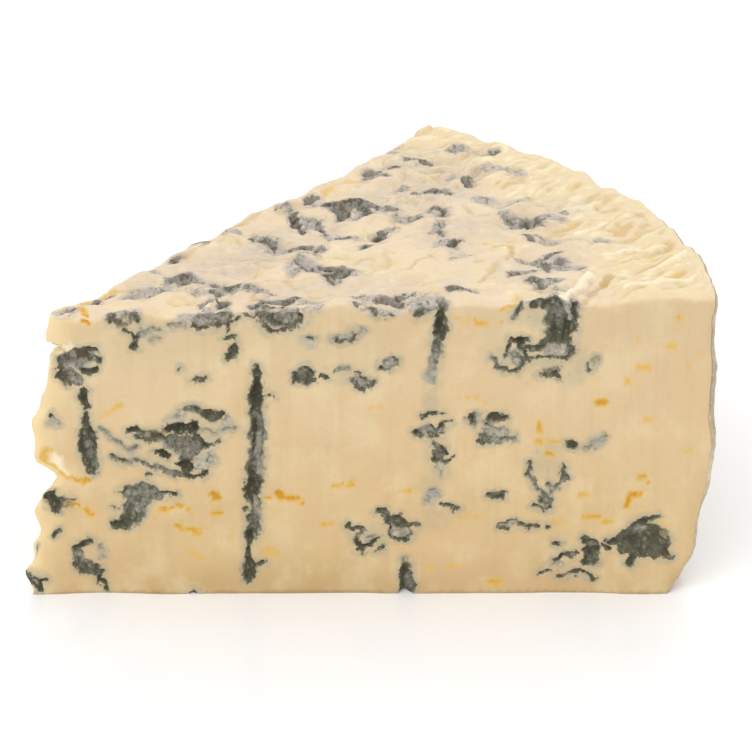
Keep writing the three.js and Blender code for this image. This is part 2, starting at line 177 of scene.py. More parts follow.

# Mould of the front cut, some of it painted cave shade: colour, depth of its pocket, then (distance from
# the tip, height, half width)
FRONT_MOULD = {
    "chunk by the tip": [
        ("grey", 0.9, (8.5, 46.4, 0.9), (10.2, 46.4, 1.1), (11.6, 45.6, 0.8)),
        ("olive", 0.5, (9.6, 45.4, 0.6), (10.6, 44.8, 0.5)),
        ("dark", 1.1, (8.0, 47.2, 0.45), (8.0, 45.8, 0.5), (9.0, 45.3, 0.3)),
        ("dark", 1.1, (11.4, 46.4, 0.5), (12.2, 45.2, 0.55)),
        ("dark", 0.6, (10, 44, 0.25), (11, 43.4, 0.3), (12, 43, 0.4), (13, 43.4, 0.3)),
        ("blue", 0.4, (13, 43.4, 0.25), (14.6, 44.2, 0.3), (15.6, 44.3, 0.2)),
        ("dark", 0.8, (12, 43, 0.4), (11.6, 41.4, 0.6)),
        ("pale", 0.2, (14.5, 42.6, 0.4), (15, 42.8, 0.3)),
    ],
    "edge patch": [
        ("pale", 0.5, (17.5, 45.2, 0.6), (19, 45.5, 0.5)),
        ("dark", 0.8, (19.2, 47.6, 0.4), (20.8, 47.3, 0.35)),
        ("pale", 0.6, (19.5, 47.0, 0.7), (20.6, 46.6, 0.8)),
        ("ash", 1.2, (21.6, 46.5, 1.3), (24, 46.0, 1.4), (25.5, 46.4, 1.1)),
        ("dark", 0.9, (20.5, 45.4, 0.3), (21.5, 44.7, 0.35), (23, 44.6, 0.35), (24.6, 44.8, 0.3)),
        ("dark", 0.9, (24.6, 44.8, 0.3), (26, 45.2, 0.35), (27.2, 45.9, 0.35)),
        ("dark", 0.7, (25.8, 44.8, 0.35), (26, 43.8, 0.3)),
        ("dark", 0.6, (25.2, 42.6, 0.25), (26.6, 42.6, 0.3)),
        ("dark", 0.9, (27, 41.3, 0.55), (26.6, 40.2, 0.6), (25.9, 39.6, 0.5)),
    ],
    "tip cave": [
        ("ash", 1.8, (1.2, 39.2, 1.5), (3.0, 39.6, 1.8)),
        ("pale", 1.2, (0.6, 38.4, 0.7), (1.4, 37.6, 0.7)),
        ("brown", 2.2, (3.4, 40.0, 0.7), (4.6, 39.8, 0.6)),
        ("dark", 1.6, (2.2, 41, 0.4), (4, 40.8, 0.4), (5.8, 40.9, 0.4)),
        ("grey", 0.9, (5.0, 39.8, 0.5), (6.0, 39.4, 0.5)),
        ("dark", 1.2, (5.9, 39.4, 0.4), (6.2, 39.1, 0.3)),
        ("dark", 1.3, (3.6, 37.6, 0.45), (5.6, 37.6, 0.5)),
        ("ash", 1.4, (1.2, 36.4, 1.1), (2.8, 36.1, 1.0)),
        ("dark", 1.0, (0.3, 36.6, 0.35), (1.0, 35.4, 0.4), (1.7, 35.2, 0.3)),
        ("dark", 1.4, (-0.4, 39.6, 0.35), (0.0, 37.6, 0.45), (0.2, 36.4, 0.4)),
    ],
    "short channel": [
        ("dark", 1.2, (3.9, 34, 0.75), (3.7, 32.8, 0.75), (4.1, 31.6, 0.5)),
        ("dark", 1.6, (4.2, 30.4, 0.35), (4, 29, 0.6), (4, 27.6, 0.8)),
        ("grey", 1.9, (4.1, 26.8, 1.2), (4.1, 24.8, 1.45), (4.5, 23, 1.2), (4.5, 21.2, 0.9)),
        ("dark", 1.3, (3.2, 27.2, 0.35), (3.0, 25, 0.4), (3.6, 22.8, 0.35), (4.0, 20.9, 0.4)),
        ("dark", 1.3, (4.4, 27.4, 0.5), (5.1, 25.6, 0.35), (5.4, 24.4, 0.3)),
        ("dark", 1.2, (4.0, 20.6, 0.4), (4.9, 20.5, 0.5)),
    ],
    "specks by the tip": [
        ("dark", 0.6, (-1.2, 30, 0.45), (-0.9, 29.8, 0.35)),
        ("pale", 0.3, (-1.2, 28.9, 0.4), (-0.2, 28.9, 0.45)),
        ("blue", 0.5, (6.2, 28.2, 0.25), (7.4, 26.8, 0.25), (8.6, 25.8, 0.3), (9.8, 24.8, 0.25)),
        ("blue", 0.5, (9.8, 24.8, 0.25), (11, 24.2, 0.3), (11.4, 25.2, 0.28)),
    ],
    "star cave": [
        ("ash", 2.6, (17.6, 25.6, 1.7), (19.6, 25, 1.9), (19.2, 23.4, 1.2)),
        ("black", 4.0, (16.3, 27.8, 0.6), (18, 28, 0.95), (20.2, 28.3, 0.95)),
        ("black", 1.4, (10.3, 27.6, 0.4), (11.6, 27.9, 0.5)),
        ("olive", 1.4, (12.5, 27.3, 0.5), (14, 27.2, 0.6), (15.5, 26.9, 0.8)),
        ("dark", 1.4, (11.6, 26.6, 0.25), (13.6, 26.3, 0.25), (15.2, 26.9, 0.25), (16.6, 26.4, 0.3)),
        ("black", 1.6, (14.4, 24, 0.4), (15.6, 23.9, 0.6), (16.4, 23.0, 0.35)),
        ("black", 3.0, (18.6, 21.9, 0.7), (19.6, 21.7, 0.8), (19, 20.8, 0.6)),
        ("black", 1.6, (21.9, 25.2, 0.55), (22.2, 25.0, 0.4)),
        ("dark", 1.4, (20.5, 27.3, 0.35), (21.3, 26.2, 0.3), (22, 25.2, 0.35)),
        ("dark", 1.2, (21.9, 24.8, 0.3), (21, 23.8, 0.25), (20.2, 22.6, 0.35)),
        ("dark", 0.7, (17.8, 20.3, 0.45), (19.5, 20.1, 0.45), (21.6, 20.2, 0.4), (22.3, 20.8, 0.4)),
        ("pale", 0.3, (21.2, 22.2, 0.8), (22.6, 22.4, 0.8)),
    ],
    "mottle over the star cave": [
        ("pale", 0.4, (17.2, 29.6, 0.6), (18.6, 30.4, 0.8)),
        ("grey", 0.6, (19.3, 31.2, 0.5), (20.6, 31.4, 0.6)),
        ("dark", 1.0, (21.0, 30.8, 0.5), (22.2, 30.3, 0.7), (23.3, 30.1, 0.8), (24.7, 30.2, 0.4)),
        ("pale", 0.3, (25.6, 29.4, 0.5), (25.4, 28.6, 0.5)),
        ("blue", 0.5, (21.2, 27.7, 0.25), (23.5, 27.4, 0.25), (25, 27.2, 0.25), (26.6, 27.8, 0.35)),
        ("dark", 0.5, (22.8, 25.4, 0.2), (24.4, 25.9, 0.3)),
        ("dark", 0.5, (23.0, 23.1, 0.4), (22.6, 22.6, 0.3)),
        ("pale", 0.3, (22.8, 23.8, 0.7), (23.2, 22.8, 0.7)),
    ],
    "thread under the star cave": [
        ("pale", 0.5, (7.8, 23.4, 0.4), (8.6, 22.8, 0.45), (9.8, 22.3, 0.3), (11.2, 22.6, 0.3)),
        ("dark", 0.4, (7.7, 23.5, 0.2), (8.5, 22.6, 0.22), (9.8, 22.1, 0.2)),
        ("grey", 0.5, (11.2, 22.6, 0.25), (13, 22.2, 0.25), (14.5, 21.4, 0.35), (16, 21, 0.4)),
        ("grey", 0.5, (16, 21, 0.4), (17.6, 20.4, 0.45)),
        ("dark", 0.5, (13.0, 20.3, 0.45), (13.4, 20.5, 0.4)),
    ],
    "grey hollow": [
        ("grey", 1.4, (10.5, 17, 1.3), (12.5, 17, 1.9), (13.8, 17.2, 1.2)),
        ("grey", 1.5, (12.0, 16, 1.8), (10.9, 14, 1.5), (10.3, 12.6, 1.5)),
        ("dark", 1.6, (11.2, 12.8, 0.7), (9.8, 12.2, 0.9), (8.2, 11.9, 0.8)),
        ("grey", 0.5, (14.8, 16.4, 0.4), (16, 16.9, 0.35)),
        ("dark", 0.5, (15.8, 16.9, 0.3), (17.5, 16.8, 0.35)),
        ("dark", 0.5, (9.5, 17.3, 0.3), (8.8, 17.4, 0.2)),
        ("dark", 0.5, (9.5, 14.6, 0.2), (7.8, 14.7, 0.15)),
    ],
    "tip hollow": [
        ("dark", 1.4, (-1.4, 16.4, 1.1), (-0.4, 15.6, 1.1), (-1.2, 14.6, 0.9)),
        ("grey", 0.8, (-0.6, 16.4, 0.5), (0.2, 16.4, 0.4)),
        ("olive", 0.5, (0.0, 15.2, 0.5), (0.8, 15.0, 0.4)),
        ("dark", 0.5, (0.6, 15.7, 0.3), (1.3, 15.7, 0.25)),
        ("dark", 0.5, (-1.8, 9.8, 0.4), (-0.8, 10.4, 0.5)),
        ("pale", 0.3, (-4.6, 2.6, 0.6), (-3.9, 1.8, 0.6)),
        ("dark", 0.6, (-5.2, 3.6, 0.45), (-5.0, 2.2, 0.4), (-4.6, 0.9, 0.5)),
        ("dark", 0.6, (-4.2, 3.1, 0.3), (-3.4, 2.6, 0.4), (-2.6, 2.6, 0.2)),
        ("dark", 0.6, (-3.4, 2.0, 0.35), (-4.2, 0.9, 0.45)),
        ("dark", 0.5, (-5.2, 8.1, 0.3), (-5.0, 7.3, 0.25)),
    ],
    "corner hook": [
        ("dark", 1.2, (4.2, 8.9, 0.5), (3, 8.4, 0.6), (2, 7.6, 0.6), (1.7, 6.4, 0.5)),
        ("grey", 1.4, (1.9, 6.6, 0.7), (2.4, 5.2, 0.75), (3.6, 4.6, 0.9), (5, 4.5, 0.7)),
        ("dark", 1.3, (1.5, 5.4, 0.35), (2.8, 4.0, 0.45), (4.6, 3.8, 0.4), (5.6, 3.4, 0.5)),
        ("dark", 1.2, (5.6, 3.4, 0.5), (5.2, 2.4, 0.5), (6, 1.8, 0.4), (6.4, 0.4, 0.3)),
        ("pale", 0.3, (5.8, 8, 0.35), (6, 6.6, 0.4)),
    ],
    "small marks under the edge": [
        ("dark", 0.3, (18.5, 37.7, 0.25), (18.5, 37.6, 0.2)),
        ("dark", 0.4, (20, 35.5, 0.25), (21.2, 36, 0.3), (22.4, 36.5, 0.25)),
        ("pale", 0.3, (37.6, 42.8, 0.4), (38.6, 42.4, 0.5)),
        ("dark", 0.3, (38.2, 43, 0.22), (38.5, 42.8, 0.2)),
        ("pale", 0.4, (42, 42.9, 0.45), (43.6, 42.6, 0.6), (45.4, 43.6, 0.5), (46.2, 44.2, 0.5)),
        ("dark", 0.4, (42.3, 42.5, 0.2), (43, 41.9, 0.25), (44.4, 42.3, 0.3), (45.2, 43, 0.25)),
    ],
    "edge cave": [
        ("brown", 3.0, (30.2, 47.6, 0.7), (32.5, 48.2, 0.8), (35, 48.4, 0.7)),
        ("dark", 1.4, (28.6, 46.3, 0.25), (30, 46.3, 0.35), (31.6, 46.6, 0.35)),
        ("ash", 1.5, (31.2, 45.9, 0.8), (33.2, 45.7, 1.2), (35.2, 46.2, 1.2), (36.8, 46.4, 0.8)),
        ("pale", 0.7, (34.2, 47.0, 0.5), (35.8, 47.6, 0.5)),
        ("dark", 1.0, (30.6, 45, 0.3), (32, 44.1, 0.4), (33.2, 43.8, 0.4), (34.6, 44.6, 0.3)),
        ("dark", 1.0, (34.6, 44.6, 0.3), (36.5, 45.2, 0.3), (37.4, 45.9, 0.3)),
        ("dark", 0.9, (32.4, 45.4, 0.3), (33.6, 45.0, 0.25)),
        ("dark", 1.0, (36.3, 47.9, 0.3), (36.9, 46.6, 0.4)),
        ("blue", 0.6, (38, 48.3, 0.8), (39.2, 48.3, 0.8)),
    ],
    "needle channel": [
        ("dark", 1.2, (30.3, 38.5, 0.35), (30.2, 37.2, 0.65), (30.2, 36, 0.75), (30.2, 34.5, 1)),
        ("dark", 2.1, (30.2, 34.5, 1), (30.1, 33, 1.2), (29.8, 31.4, 0.9), (30.2, 29.6, 1.1)),
        ("grey", 2.2, (30.2, 29.2, 1.1), (30.2, 27.6, 1.35), (30, 25.6, 1.3), (30, 23.6, 1.3)),
        ("grey", 2.2, (30, 23.6, 1.3), (29.8, 21.6, 1.25), (29.6, 19.6, 1.25)),
        ("dark", 2.2, (29.7, 20, 1.2), (29.3, 17.8, 1.3), (29.4, 16.2, 1.1), (29.8, 14.6, 0.7)),
        ("grey", 2.1, (29.7, 14.4, 0.6), (29.4, 12.6, 1.1), (29.3, 11, 1.1), (29, 9.4, 0.9)),
        ("dark", 2.0, (29, 9.4, 0.8), (28.6, 7.8, 0.5), (28.7, 6.6, 0.65)),
        ("dark", 2.0, (28.8, 6.2, 0.7), (28.8, 4.6, 0.9), (28.7, 2.4, 0.8)),
        ("black", 2.6, (30.0, 28.6, 0.25), (29.8, 26.4, 0.35), (29.6, 24.4, 0.3)),
        ("black", 2.4, (29.8, 34.6, 0.35), (30.0, 32.0, 0.35)),
        ("pale", 1.2, (30.4, 26.0, 0.4), (30.2, 22.8, 0.45), (30.6, 20.6, 0.35)),
        ("pale", 1.0, (29.8, 15.4, 0.35), (29.9, 13.6, 0.35)),
        ("dark", 0.6, (29.4, 5.2, 0.3), (31.2, 5.1, 0.25)),
        ("dark", 0.8, (28.4, 14.2, 0.35), (28.2, 14.0, 0.3)),
        ("brown", 0.4, (32.0, 33.3, 0.3), (32.6, 33.2, 0.3)),
    ],
    "knot": [
        ("grey", 1.0, (36.4, 36.6, 0.8), (37.6, 36.2, 1.1), (38.4, 37.2, 0.7)),
        ("dark", 1.0, (35.9, 37.0, 0.3), (36.2, 35.8, 0.35), (37.6, 35.4, 0.35), (39.2, 36, 0.4)),
        ("dark", 0.9, (36.8, 37.6, 0.25), (38.2, 37.9, 0.3), (38.9, 36.8, 0.3)),
        ("dark", 0.8, (37.4, 36.6, 0.3), (37.8, 36.2, 0.3)),
        ("dark", 0.4, (40.3, 36.4, 0.35), (40.8, 36.3, 0.25)),
    ],
    "eyebrow": [
        ("dark", 0.5, (42.3, 37.5, 0.25), (43.2, 37.2, 0.3), (44, 37.3, 0.25)),
        ("blue", 0.6, (42.8, 37.6, 0.4), (44.2, 37.6, 0.5)),
        ("black", 1.4, (45, 36.9, 0.25), (45.6, 36.2, 0.45), (47.2, 36.1, 0.28)),
        ("pale", 0.9, (45.2, 35.8, 0.5), (46.6, 35.2, 0.6), (48, 35.6, 0.4)),
        ("dark", 0.5, (44.6, 35.6, 0.25), (45.6, 34.8, 0.25), (46.6, 34.5, 0.25), (48, 35.2, 0.25)),
        ("dark", 0.6, (49, 38, 0.3), (50.4, 38.1, 0.4), (51.6, 38.4, 0.3)),
        ("blue", 0.8, (50, 38.5, 0.6), (51, 38.9, 0.6)),
        ("dark", 0.7, (51.0, 39.4, 0.35), (51.7, 39.0, 0.35)),
    ],
    "brown cave": [
        ("brown", 3.0, (48, 49.4, 0.6), (50, 49.7, 0.8), (52, 49.8, 0.8)),
        ("dark", 0.7, (44.7, 49.2, 0.3), (45.2, 48.4, 0.35), (45.8, 49.4, 0.3)),
        ("dark", 0.9, (47.8, 48.2, 0.35), (48.4, 47.4, 0.45)),
        ("dark", 0.7, (50.2, 47.4, 0.45), (50.8, 47.3, 0.35)),
        ("pale", 0.5, (49.4, 48.2, 0.5), (51.2, 48.2, 0.5)),
        ("grey", 0.9, (54, 48.4, 0.7), (55, 48, 1), (57, 48.6, 1)),
        ("dark", 0.8, (54.4, 47.2, 0.4), (55.2, 47.0, 0.35)),
    ],
    "right channel": [
        ("grey", 1.6, (58.4, 48.8, 0.9), (58.2, 46.6, 0.9)),
        ("dark", 2.4, (58.8, 48.2, 0.4), (58.3, 46.6, 0.7), (58, 45, 0.95), (57.9, 43.6, 0.9)),
        ("black", 2.6, (58.1, 44.8, 0.45), (57.9, 43.0, 0.5)),
        ("grey", 1.6, (57.6, 42, 0.8), (57.4, 40.4, 0.7), (57.2, 38.8, 0.6), (57, 37.6, 0.4)),
        ("blue", 0.5, (57.0, 37.8, 0.7), (56.8, 36.2, 0.7)),
        ("pale", 0.9, (57.1, 40.0, 0.3), (56.9, 38.8, 0.3)),
    ],
    "bird": [
        ("dark", 0.5, (55.2, 30.1, 0.25), (56.8, 30.6, 0.4), (58.6, 30.4, 0.25)),
        ("dark", 1.0, (54.4, 27.3, 0.6), (55.2, 27.0, 0.6)),
        ("blue", 1.0, (55.6, 27.5, 0.6), (57.2, 27.4, 0.75), (58.6, 28.1, 0.5)),
        ("dark", 0.9, (56.6, 28.3, 0.3), (57.4, 27.8, 0.35), (58.6, 28.6, 0.3), (59.6, 28.9, 0.25)),
        ("dark", 0.8, (56.2, 26.5, 0.25), (57.6, 26.7, 0.3), (58.8, 27.2, 0.25)),
        ("grey", 1.2, (57.4, 25.3, 0.4), (58.4, 24.6, 0.7), (58, 23.6, 0.6)),
        ("black", 1.4, (58.8, 25, 0.3), (58.9, 24.0, 0.35)),
        ("dark", 0.9, (57.2, 24, 0.35), (57.3, 22.6, 0.35), (58.6, 22.7, 0.3)),
        ("dark", 0.6, (59.2, 22.4, 0.3), (60, 23.4, 0.35)),
        ("pale", 0.3, (58, 21.4, 0.5), (58.3, 20.4, 0.35)),
    ],
    "blue bloom": [
        ("blue", 0.2, (57.2, 17.2, 0.8), (56.3, 16, 0.6)),
        ("dark", 0.4, (58.2, 15.7, 0.22), (59.6, 15.2, 0.3), (61.2, 14.5, 0.25)),
        ("dark", 0.4, (60.4, 14.9, 0.25), (60.2, 14.2, 0.2)),
    ],
    "hatch": [
        ("dark", 0.9, (48.5, 13.9, 0.4), (49.7, 13.9, 0.5), (50.6, 12.8, 0.7)),
        ("grey", 1.4, (50.4, 12.8, 0.8), (51.8, 12.6, 0.9), (52.6, 11.8, 0.7)),
        ("dark", 1.2, (50.0, 12.2, 0.35), (51.4, 11.6, 0.4), (52.8, 11.3, 0.4)),
        ("dark", 1.0, (51.4, 13.3, 0.35), (52.6, 12.7, 0.35), (53.2, 11.6, 0.35)),
        ("dark", 0.5, (53.4, 11.6, 0.3), (54.8, 11.5, 0.2)),
        ("dark", 0.7, (50.4, 11.4, 0.3), (50.6, 9.8, 0.3), (51.6, 9.3, 0.35), (53, 9.2, 0.45)),
        ("dark", 0.7, (53, 9.2, 0.45), (53.8, 9.8, 0.3), (53.4, 10.8, 0.25)),
        ("pale", 0.4, (51.3, 10.4, 0.6), (52.4, 10.3, 0.6)),
    ],
    "branching threads": [
        ("dark", 0.8, (44, 11.6, 0.4), (44.4, 10.8, 0.45), (45.6, 11.2, 0.35), (46.4, 11, 0.35)),
        ("grey", 0.7, (46.4, 10.8, 0.3), (46.2, 10.1, 0.3), (45.4, 10, 0.3), (45.4, 9.2, 0.4)),
        ("dark", 0.9, (45.4, 9.2, 0.4), (46, 8, 0.55), (47.4, 8.3, 0.5), (48.6, 9.2, 0.3)),
        ("dark", 0.5, (45.6, 7.5, 0.3), (46.2, 7.2, 0.25)),
        ("dark", 0.5, (48.4, 7.8, 0.3), (49.4, 7.8, 0.3), (48.2, 7.1, 0.22)),
        ("pale", 0.4, (47.0, 9.2, 0.5), (47.8, 9.8, 0.4)),
    ],
    "floor channel": [
        ("olive", 0.3, (52.8, 5.4, 0.6), (53, 4.6, 0.8)),
        ("dark", 2.0, (52.9, 3.8, 0.8), (53, 2.8, 1.15), (53.1, 1.4, 1.25), (53, -0.4, 1.3)),
        ("grey", 1.4, (53.4, 2.6, 0.5), (53.4, 1.0, 0.5)),
    ],
    "leaning stroke by the big patch": [
        ("grey", 0.8, (70.6, 48.9, 0.3), (70, 47.8, 0.5), (69.6, 46.8, 0.5), (69.4, 46, 0.35)),
        ("dark", 0.8, (70.8, 49.0, 0.25), (70.4, 47.9, 0.25), (69.9, 46.8, 0.2)),
    ],
    "big patch": [
        ("dark", 1.8, (72.4, 48.2, 0.55), (73.8, 47.7, 0.8), (75.4, 48.2, 1.0)),
        ("grey", 3.0, (76, 47.8, 1.3), (75.6, 46, 1.6), (76.6, 44.6, 1.7), (76, 43.2, 1.6)),
        ("dark", 2.4, (75.0, 44.2, 0.8), (75.4, 42.4, 1.1), (76.6, 42.6, 1.0)),
        ("dark", 1.6, (78.4, 48.4, 0.7), (78.5, 46.8, 0.6), (78.1, 44.2, 0.7)),
        ("black", 2.6, (77.4, 46.2, 0.35), (77.3, 44.0, 0.5), (77.2, 42.8, 0.5)),
        ("blue", 1.4, (77.6, 47.6, 0.35), (77.9, 46.2, 0.35)),
        ("dark", 1.4, (77.8, 42.4, 0.7), (77.2, 41.6, 0.6)),
        ("grey", 1.2, (77.8, 41.2, 0.8), (77.8, 40.4, 0.8)),
        ("dark", 1.4, (74.4, 42, 0.7), (73.4, 41.4, 0.7), (72.2, 41.2, 0.5), (71.4, 41, 0.45)),
        ("pale", 0.8, (75, 40.9, 0.8), (76.4, 41.2, 0.6)),
        ("dark", 0.7, (71.6, 39.5, 0.22), (73.6, 39.9, 0.25), (75.4, 39.9, 0.25), (77.2, 39.7, 0.25)),
    ],
    "black cave": [
        ("dark", 1.4, (68.9, 42.4, 0.5), (70.0, 42.6, 0.7), (71.4, 42.6, 0.4)),
        ("black", 3.6, (70.2, 42.6, 0.7), (70.3, 41.8, 0.65)),
        ("dark", 1.2, (69, 42, 0.4), (68.4, 40.8, 0.4), (68.1, 39.7, 0.35)),
        ("dark", 1.0, (70.6, 41, 0.4), (71.1, 40.3, 0.35), (71.3, 39.5, 0.3)),
        ("pale", 0.7, (69.4, 40.2, 0.6), (69.7, 38.9, 0.7)),
        ("grey", 0.8, (70.2, 40.4, 0.3), (70.4, 39.4, 0.35)),
        ("grey", 0.6, (66.0, 39.5, 0.3), (66.7, 38.3, 0.35), (68, 37.8, 0.4)),
        ("dark", 0.7, (66.7, 38.1, 0.25), (68, 37.5, 0.3), (69.2, 37.4, 0.35), (70.2, 38.1, 0.3)),
        ("dark", 0.7, (70.2, 38.2, 0.3), (70.9, 39.3, 0.28)),
    ],
    "small cloud": [
        ("dark", 0.8, (73.6, 36.7, 0.4), (75, 37.1, 0.5), (76, 37.4, 0.5), (76.1, 36.6, 0.45)),
        ("olive", 0.4, (74.2, 37.6, 0.4), (75.4, 37.9, 0.35)),
        ("olive", 0.2, (81.4, 38.9, 0.5), (81.9, 39.4, 0.4)),
        ("grey", 0.5, (80.7, 38.3, 0.3), (80.8, 37.6, 0.3)),
    ],
    "helmet": [
        ("blue", 1.2, (63.2, 29.6, 0.8), (63.4, 28.8, 0.6)),
        ("grey", 1.2, (65.6, 29.4, 0.5), (66.6, 29.4, 0.8), (68.2, 29.6, 0.5)),
        ("dark", 1.0, (62.7, 30, 0.35), (63.2, 29.0, 0.4)),
        ("dark", 1.1, (65.6, 29.8, 0.3), (66.8, 29.6, 0.5), (68.2, 29.7, 0.35)),
        ("dark", 0.9, (64.6, 28.8, 0.3), (66, 27.9, 0.4), (67.6, 27.7, 0.4)),
        ("pale", 0.8, (65.6, 27.2, 0.9), (67.6, 27.0, 1.0)),
        ("grey", 0.9, (64.4, 26.9, 0.35), (65.8, 26, 0.4), (68, 25.7, 0.4), (69.6, 26.5, 0.35)),
        ("dark", 0.6, (64.1, 25.8, 0.35), (65.2, 25.6, 0.3)),
    ],
    "bead and pale streak": [
        ("dark", 1.0, (78.1, 25.4, 0.6), (78.8, 25.0, 0.65)),
        ("blue", 0.3, (80.6, 24.4, 0.35), (81.8, 25.4, 0.4), (82.8, 26.2, 0.4), (83.6, 26.8, 0.3)),
    ],
    "antlers": [
        ("dark", 0.5, (71.8, 22.2, 0.3), (72, 21.2, 0.28), (71.9, 20.4, 0.4), (72.3, 19.6, 0.3)),
        ("grey", 0.5, (72.3, 19.6, 0.3), (72.8, 18.4, 0.28), (73.8, 17.4, 0.3), (74.2, 16.9, 0.3)),
        ("dark", 0.5, (77.4, 21.6, 0.35), (76.9, 20.4, 0.28), (77, 19.4, 0.45), (77.8, 19.4, 0.28)),
        ("grey", 0.5, (77, 19.4, 0.3), (76.4, 18.2, 0.35), (75.6, 17.6, 0.3), (75, 17, 0.35)),
        ("grey", 0.4, (75, 18.6, 0.3), (75.6, 18, 0.3)),
        ("grey", 0.9, (74.0, 16, 0.8), (75, 15.7, 0.7)),
        ("dark", 0.7, (72.9, 15, 0.35), (73.8, 14.7, 0.35), (75.2, 14.7, 0.35)),
    ],
    "seed": [
        ("dark", 1.0, (65.9, 16.8, 0.55), (67.7, 16.8, 0.55)),
        ("olive", 0.8, (66.4, 17.0, 0.3), (67.2, 17.0, 0.3)),
    ],
    "low thread": [
        ("dark", 0.5, (67.4, 11.6, 0.35), (68, 12.2, 0.3), (69.4, 12.5, 0.2), (70.8, 12, 0.2)),
        ("dark", 0.5, (70.8, 12, 0.2), (71.6, 11.6, 0.3), (73.2, 11.5, 0.22)),
        ("pale", 0.4, (68, 11.5, 0.4), (69.6, 11.7, 0.4)),
        ("dark", 0.4, (67.8, 11.1, 0.22), (69, 11.2, 0.22)),
        ("dark", 0.4, (74.7, 11.8, 0.3), (75.1, 11.8, 0.25)),
    ],
    "round patch": [
        ("dark", 1.5, (87.4, 8.8, 2.1), (89.6, 9.4, 3.2), (91.2, 8.8, 2.8)),
        ("dark", 1.0, (88.4, 6.6, 1.1), (87.7, 5.2, 0.6)),
        ("dark", 1.0, (92.4, 7.2, 1.0), (93.8, 6.2, 0.4)),
        ("dark", 1.0, (89.4, 12.2, 0.7), (90.8, 12.9, 0.35), (91.8, 13.2, 0.2)),
        ("dark", 0.8, (86.6, 8.8, 1.0), (84.9, 8.9, 0.5), (84.0, 8.8, 0.3)),
        ("black", 1.6, (88.2, 9.0, 0.6), (89.2, 7.4, 0.7)),
        ("grey", 1.2, (88.6, 11.0, 0.4), (90.2, 10.6, 0.4)),
        ("olive", 0.5, (92.8, 10.6, 0.5), (93.2, 9.4, 0.4)),
    ],
    "neighbours of the round patch": [
        ("dark", 1.4, (80.8, 9.2, 0.6), (81.8, 8.6, 0.8)),
        ("grey", 1.6, (81.7, 7.4, 1.2), (81.5, 6.2, 1.0)),
        ("dark", 1.6, (80.7, 7.4, 0.4), (80.9, 5.6, 0.6), (82.2, 5.4, 0.5)),
        ("dark", 1.2, (82.6, 7.6, 0.45), (82.4, 6.2, 0.4)),
        ("dark", 0.8, (83.3, 8.2, 0.45), (84.5, 7.6, 0.35)),
        ("dark", 0.8, (79.6, 6.8, 0.3), (78.2, 6.6, 0.3), (77.2, 6.4, 0.45), (76.2, 5.8, 0.45)),
        ("dark", 0.6, (76.2, 8.6, 0.45), (76.6, 8.5, 0.4)),
        ("dark", 0.6, (73.8, 3.4, 0.35), (74.8, 4, 0.3), (75.4, 3.8, 0.3)),
        ("dark", 0.6, (76.8, 2.8, 0.3), (77.6, 3.2, 0.25), (79, 3.5, 0.4), (80.4, 3.8, 0.2)),
        ("dark", 0.6, (80.6, 3.7, 0.3), (81.8, 2.6, 0.45), (82.3, 2.4, 0.3)),
        ("pale", 0.3, (76.2, 4.8, 0.35), (77.0, 4.9, 0.3)),
        ("dark", 0.6, (19.8, 0.2, 0.5), (20.3, 0.1, 0.4)),
    ],
}

# Wide pale bloom around some of the mould of the front cut: strength, then places as above
FRONT_BLOOM = [
    (0.75, (18, 27, 4.2), (22, 26, 4.4)),
    (0.5, (16.5, 21, 2.5), (12, 22.6, 2)),
    (0.5, (3, 38, 3.6), (3.4, 39, 3.4)),
    (0.45, (4.2, 28, 2), (4.3, 21, 2)),
    (0.45, (30, 37, 1.6), (29, 3, 2)),
    (0.4, (10.5, 45.6, 2.4), (12.8, 43, 2.2)),
    (0.55, (19.4, 45.8, 2.2), (25, 45.6, 2.2)),
    (0.3, (26, 41.4, 1.8), (26, 40, 1.8)),
    (0.6, (31.6, 46, 2.2), (37.6, 46.6, 2.4)),
    (0.55, (46, 48.6, 1.8), (56, 48.4, 2)),
    (0.6, (58, 47, 2), (57.4, 40, 2), (56.6, 31, 2.2)),
    (0.55, (57, 29, 2.6), (58.3, 21, 2.6)),
    (0.45, (57, 19, 2.6), (57.6, 12, 2.6)),
    (0.5, (46, 10, 2.4), (52, 11.6, 2.8)),
    (0.5, (53, 5, 1.8), (53, 0, 2)),
    (0.45, (37.6, 36.8, 2.2), (46.6, 36.2, 2.4)),
    (0.35, (43.6, 42.6, 1.8), (45, 43, 1.8)),
    (0.7, (71, 46.6, 2.4), (77, 46, 2.6)),
    (0.7, (68.4, 40, 3.2), (76.4, 40.4, 3.4)),
    (0.5, (80.6, 39, 2), (78.4, 36, 2.4)),
    (0.5, (63.4, 29, 1.6), (67.6, 27, 2.8)),
    (0.5, (74.6, 24, 3), (74.6, 16.6, 3.4)),
    (0.4, (66.8, 16.8, 1.2), (67.6, 16.8, 1.2)),
    (0.4, (68.6, 12, 1.4), (74, 11.8, 1.6)),
    (0.6, (88.4, 8.8, 4.4), (89.6, 9, 4.6)),
    (0.55, (81.6, 7.4, 2.6), (77, 5.6, 2.2)),
    (0.5, (11.6, 16, 2.8), (10, 12.6, 2.4)),
    (0.45, (2.6, 7, 2), (4.6, 4.4, 2)),
]

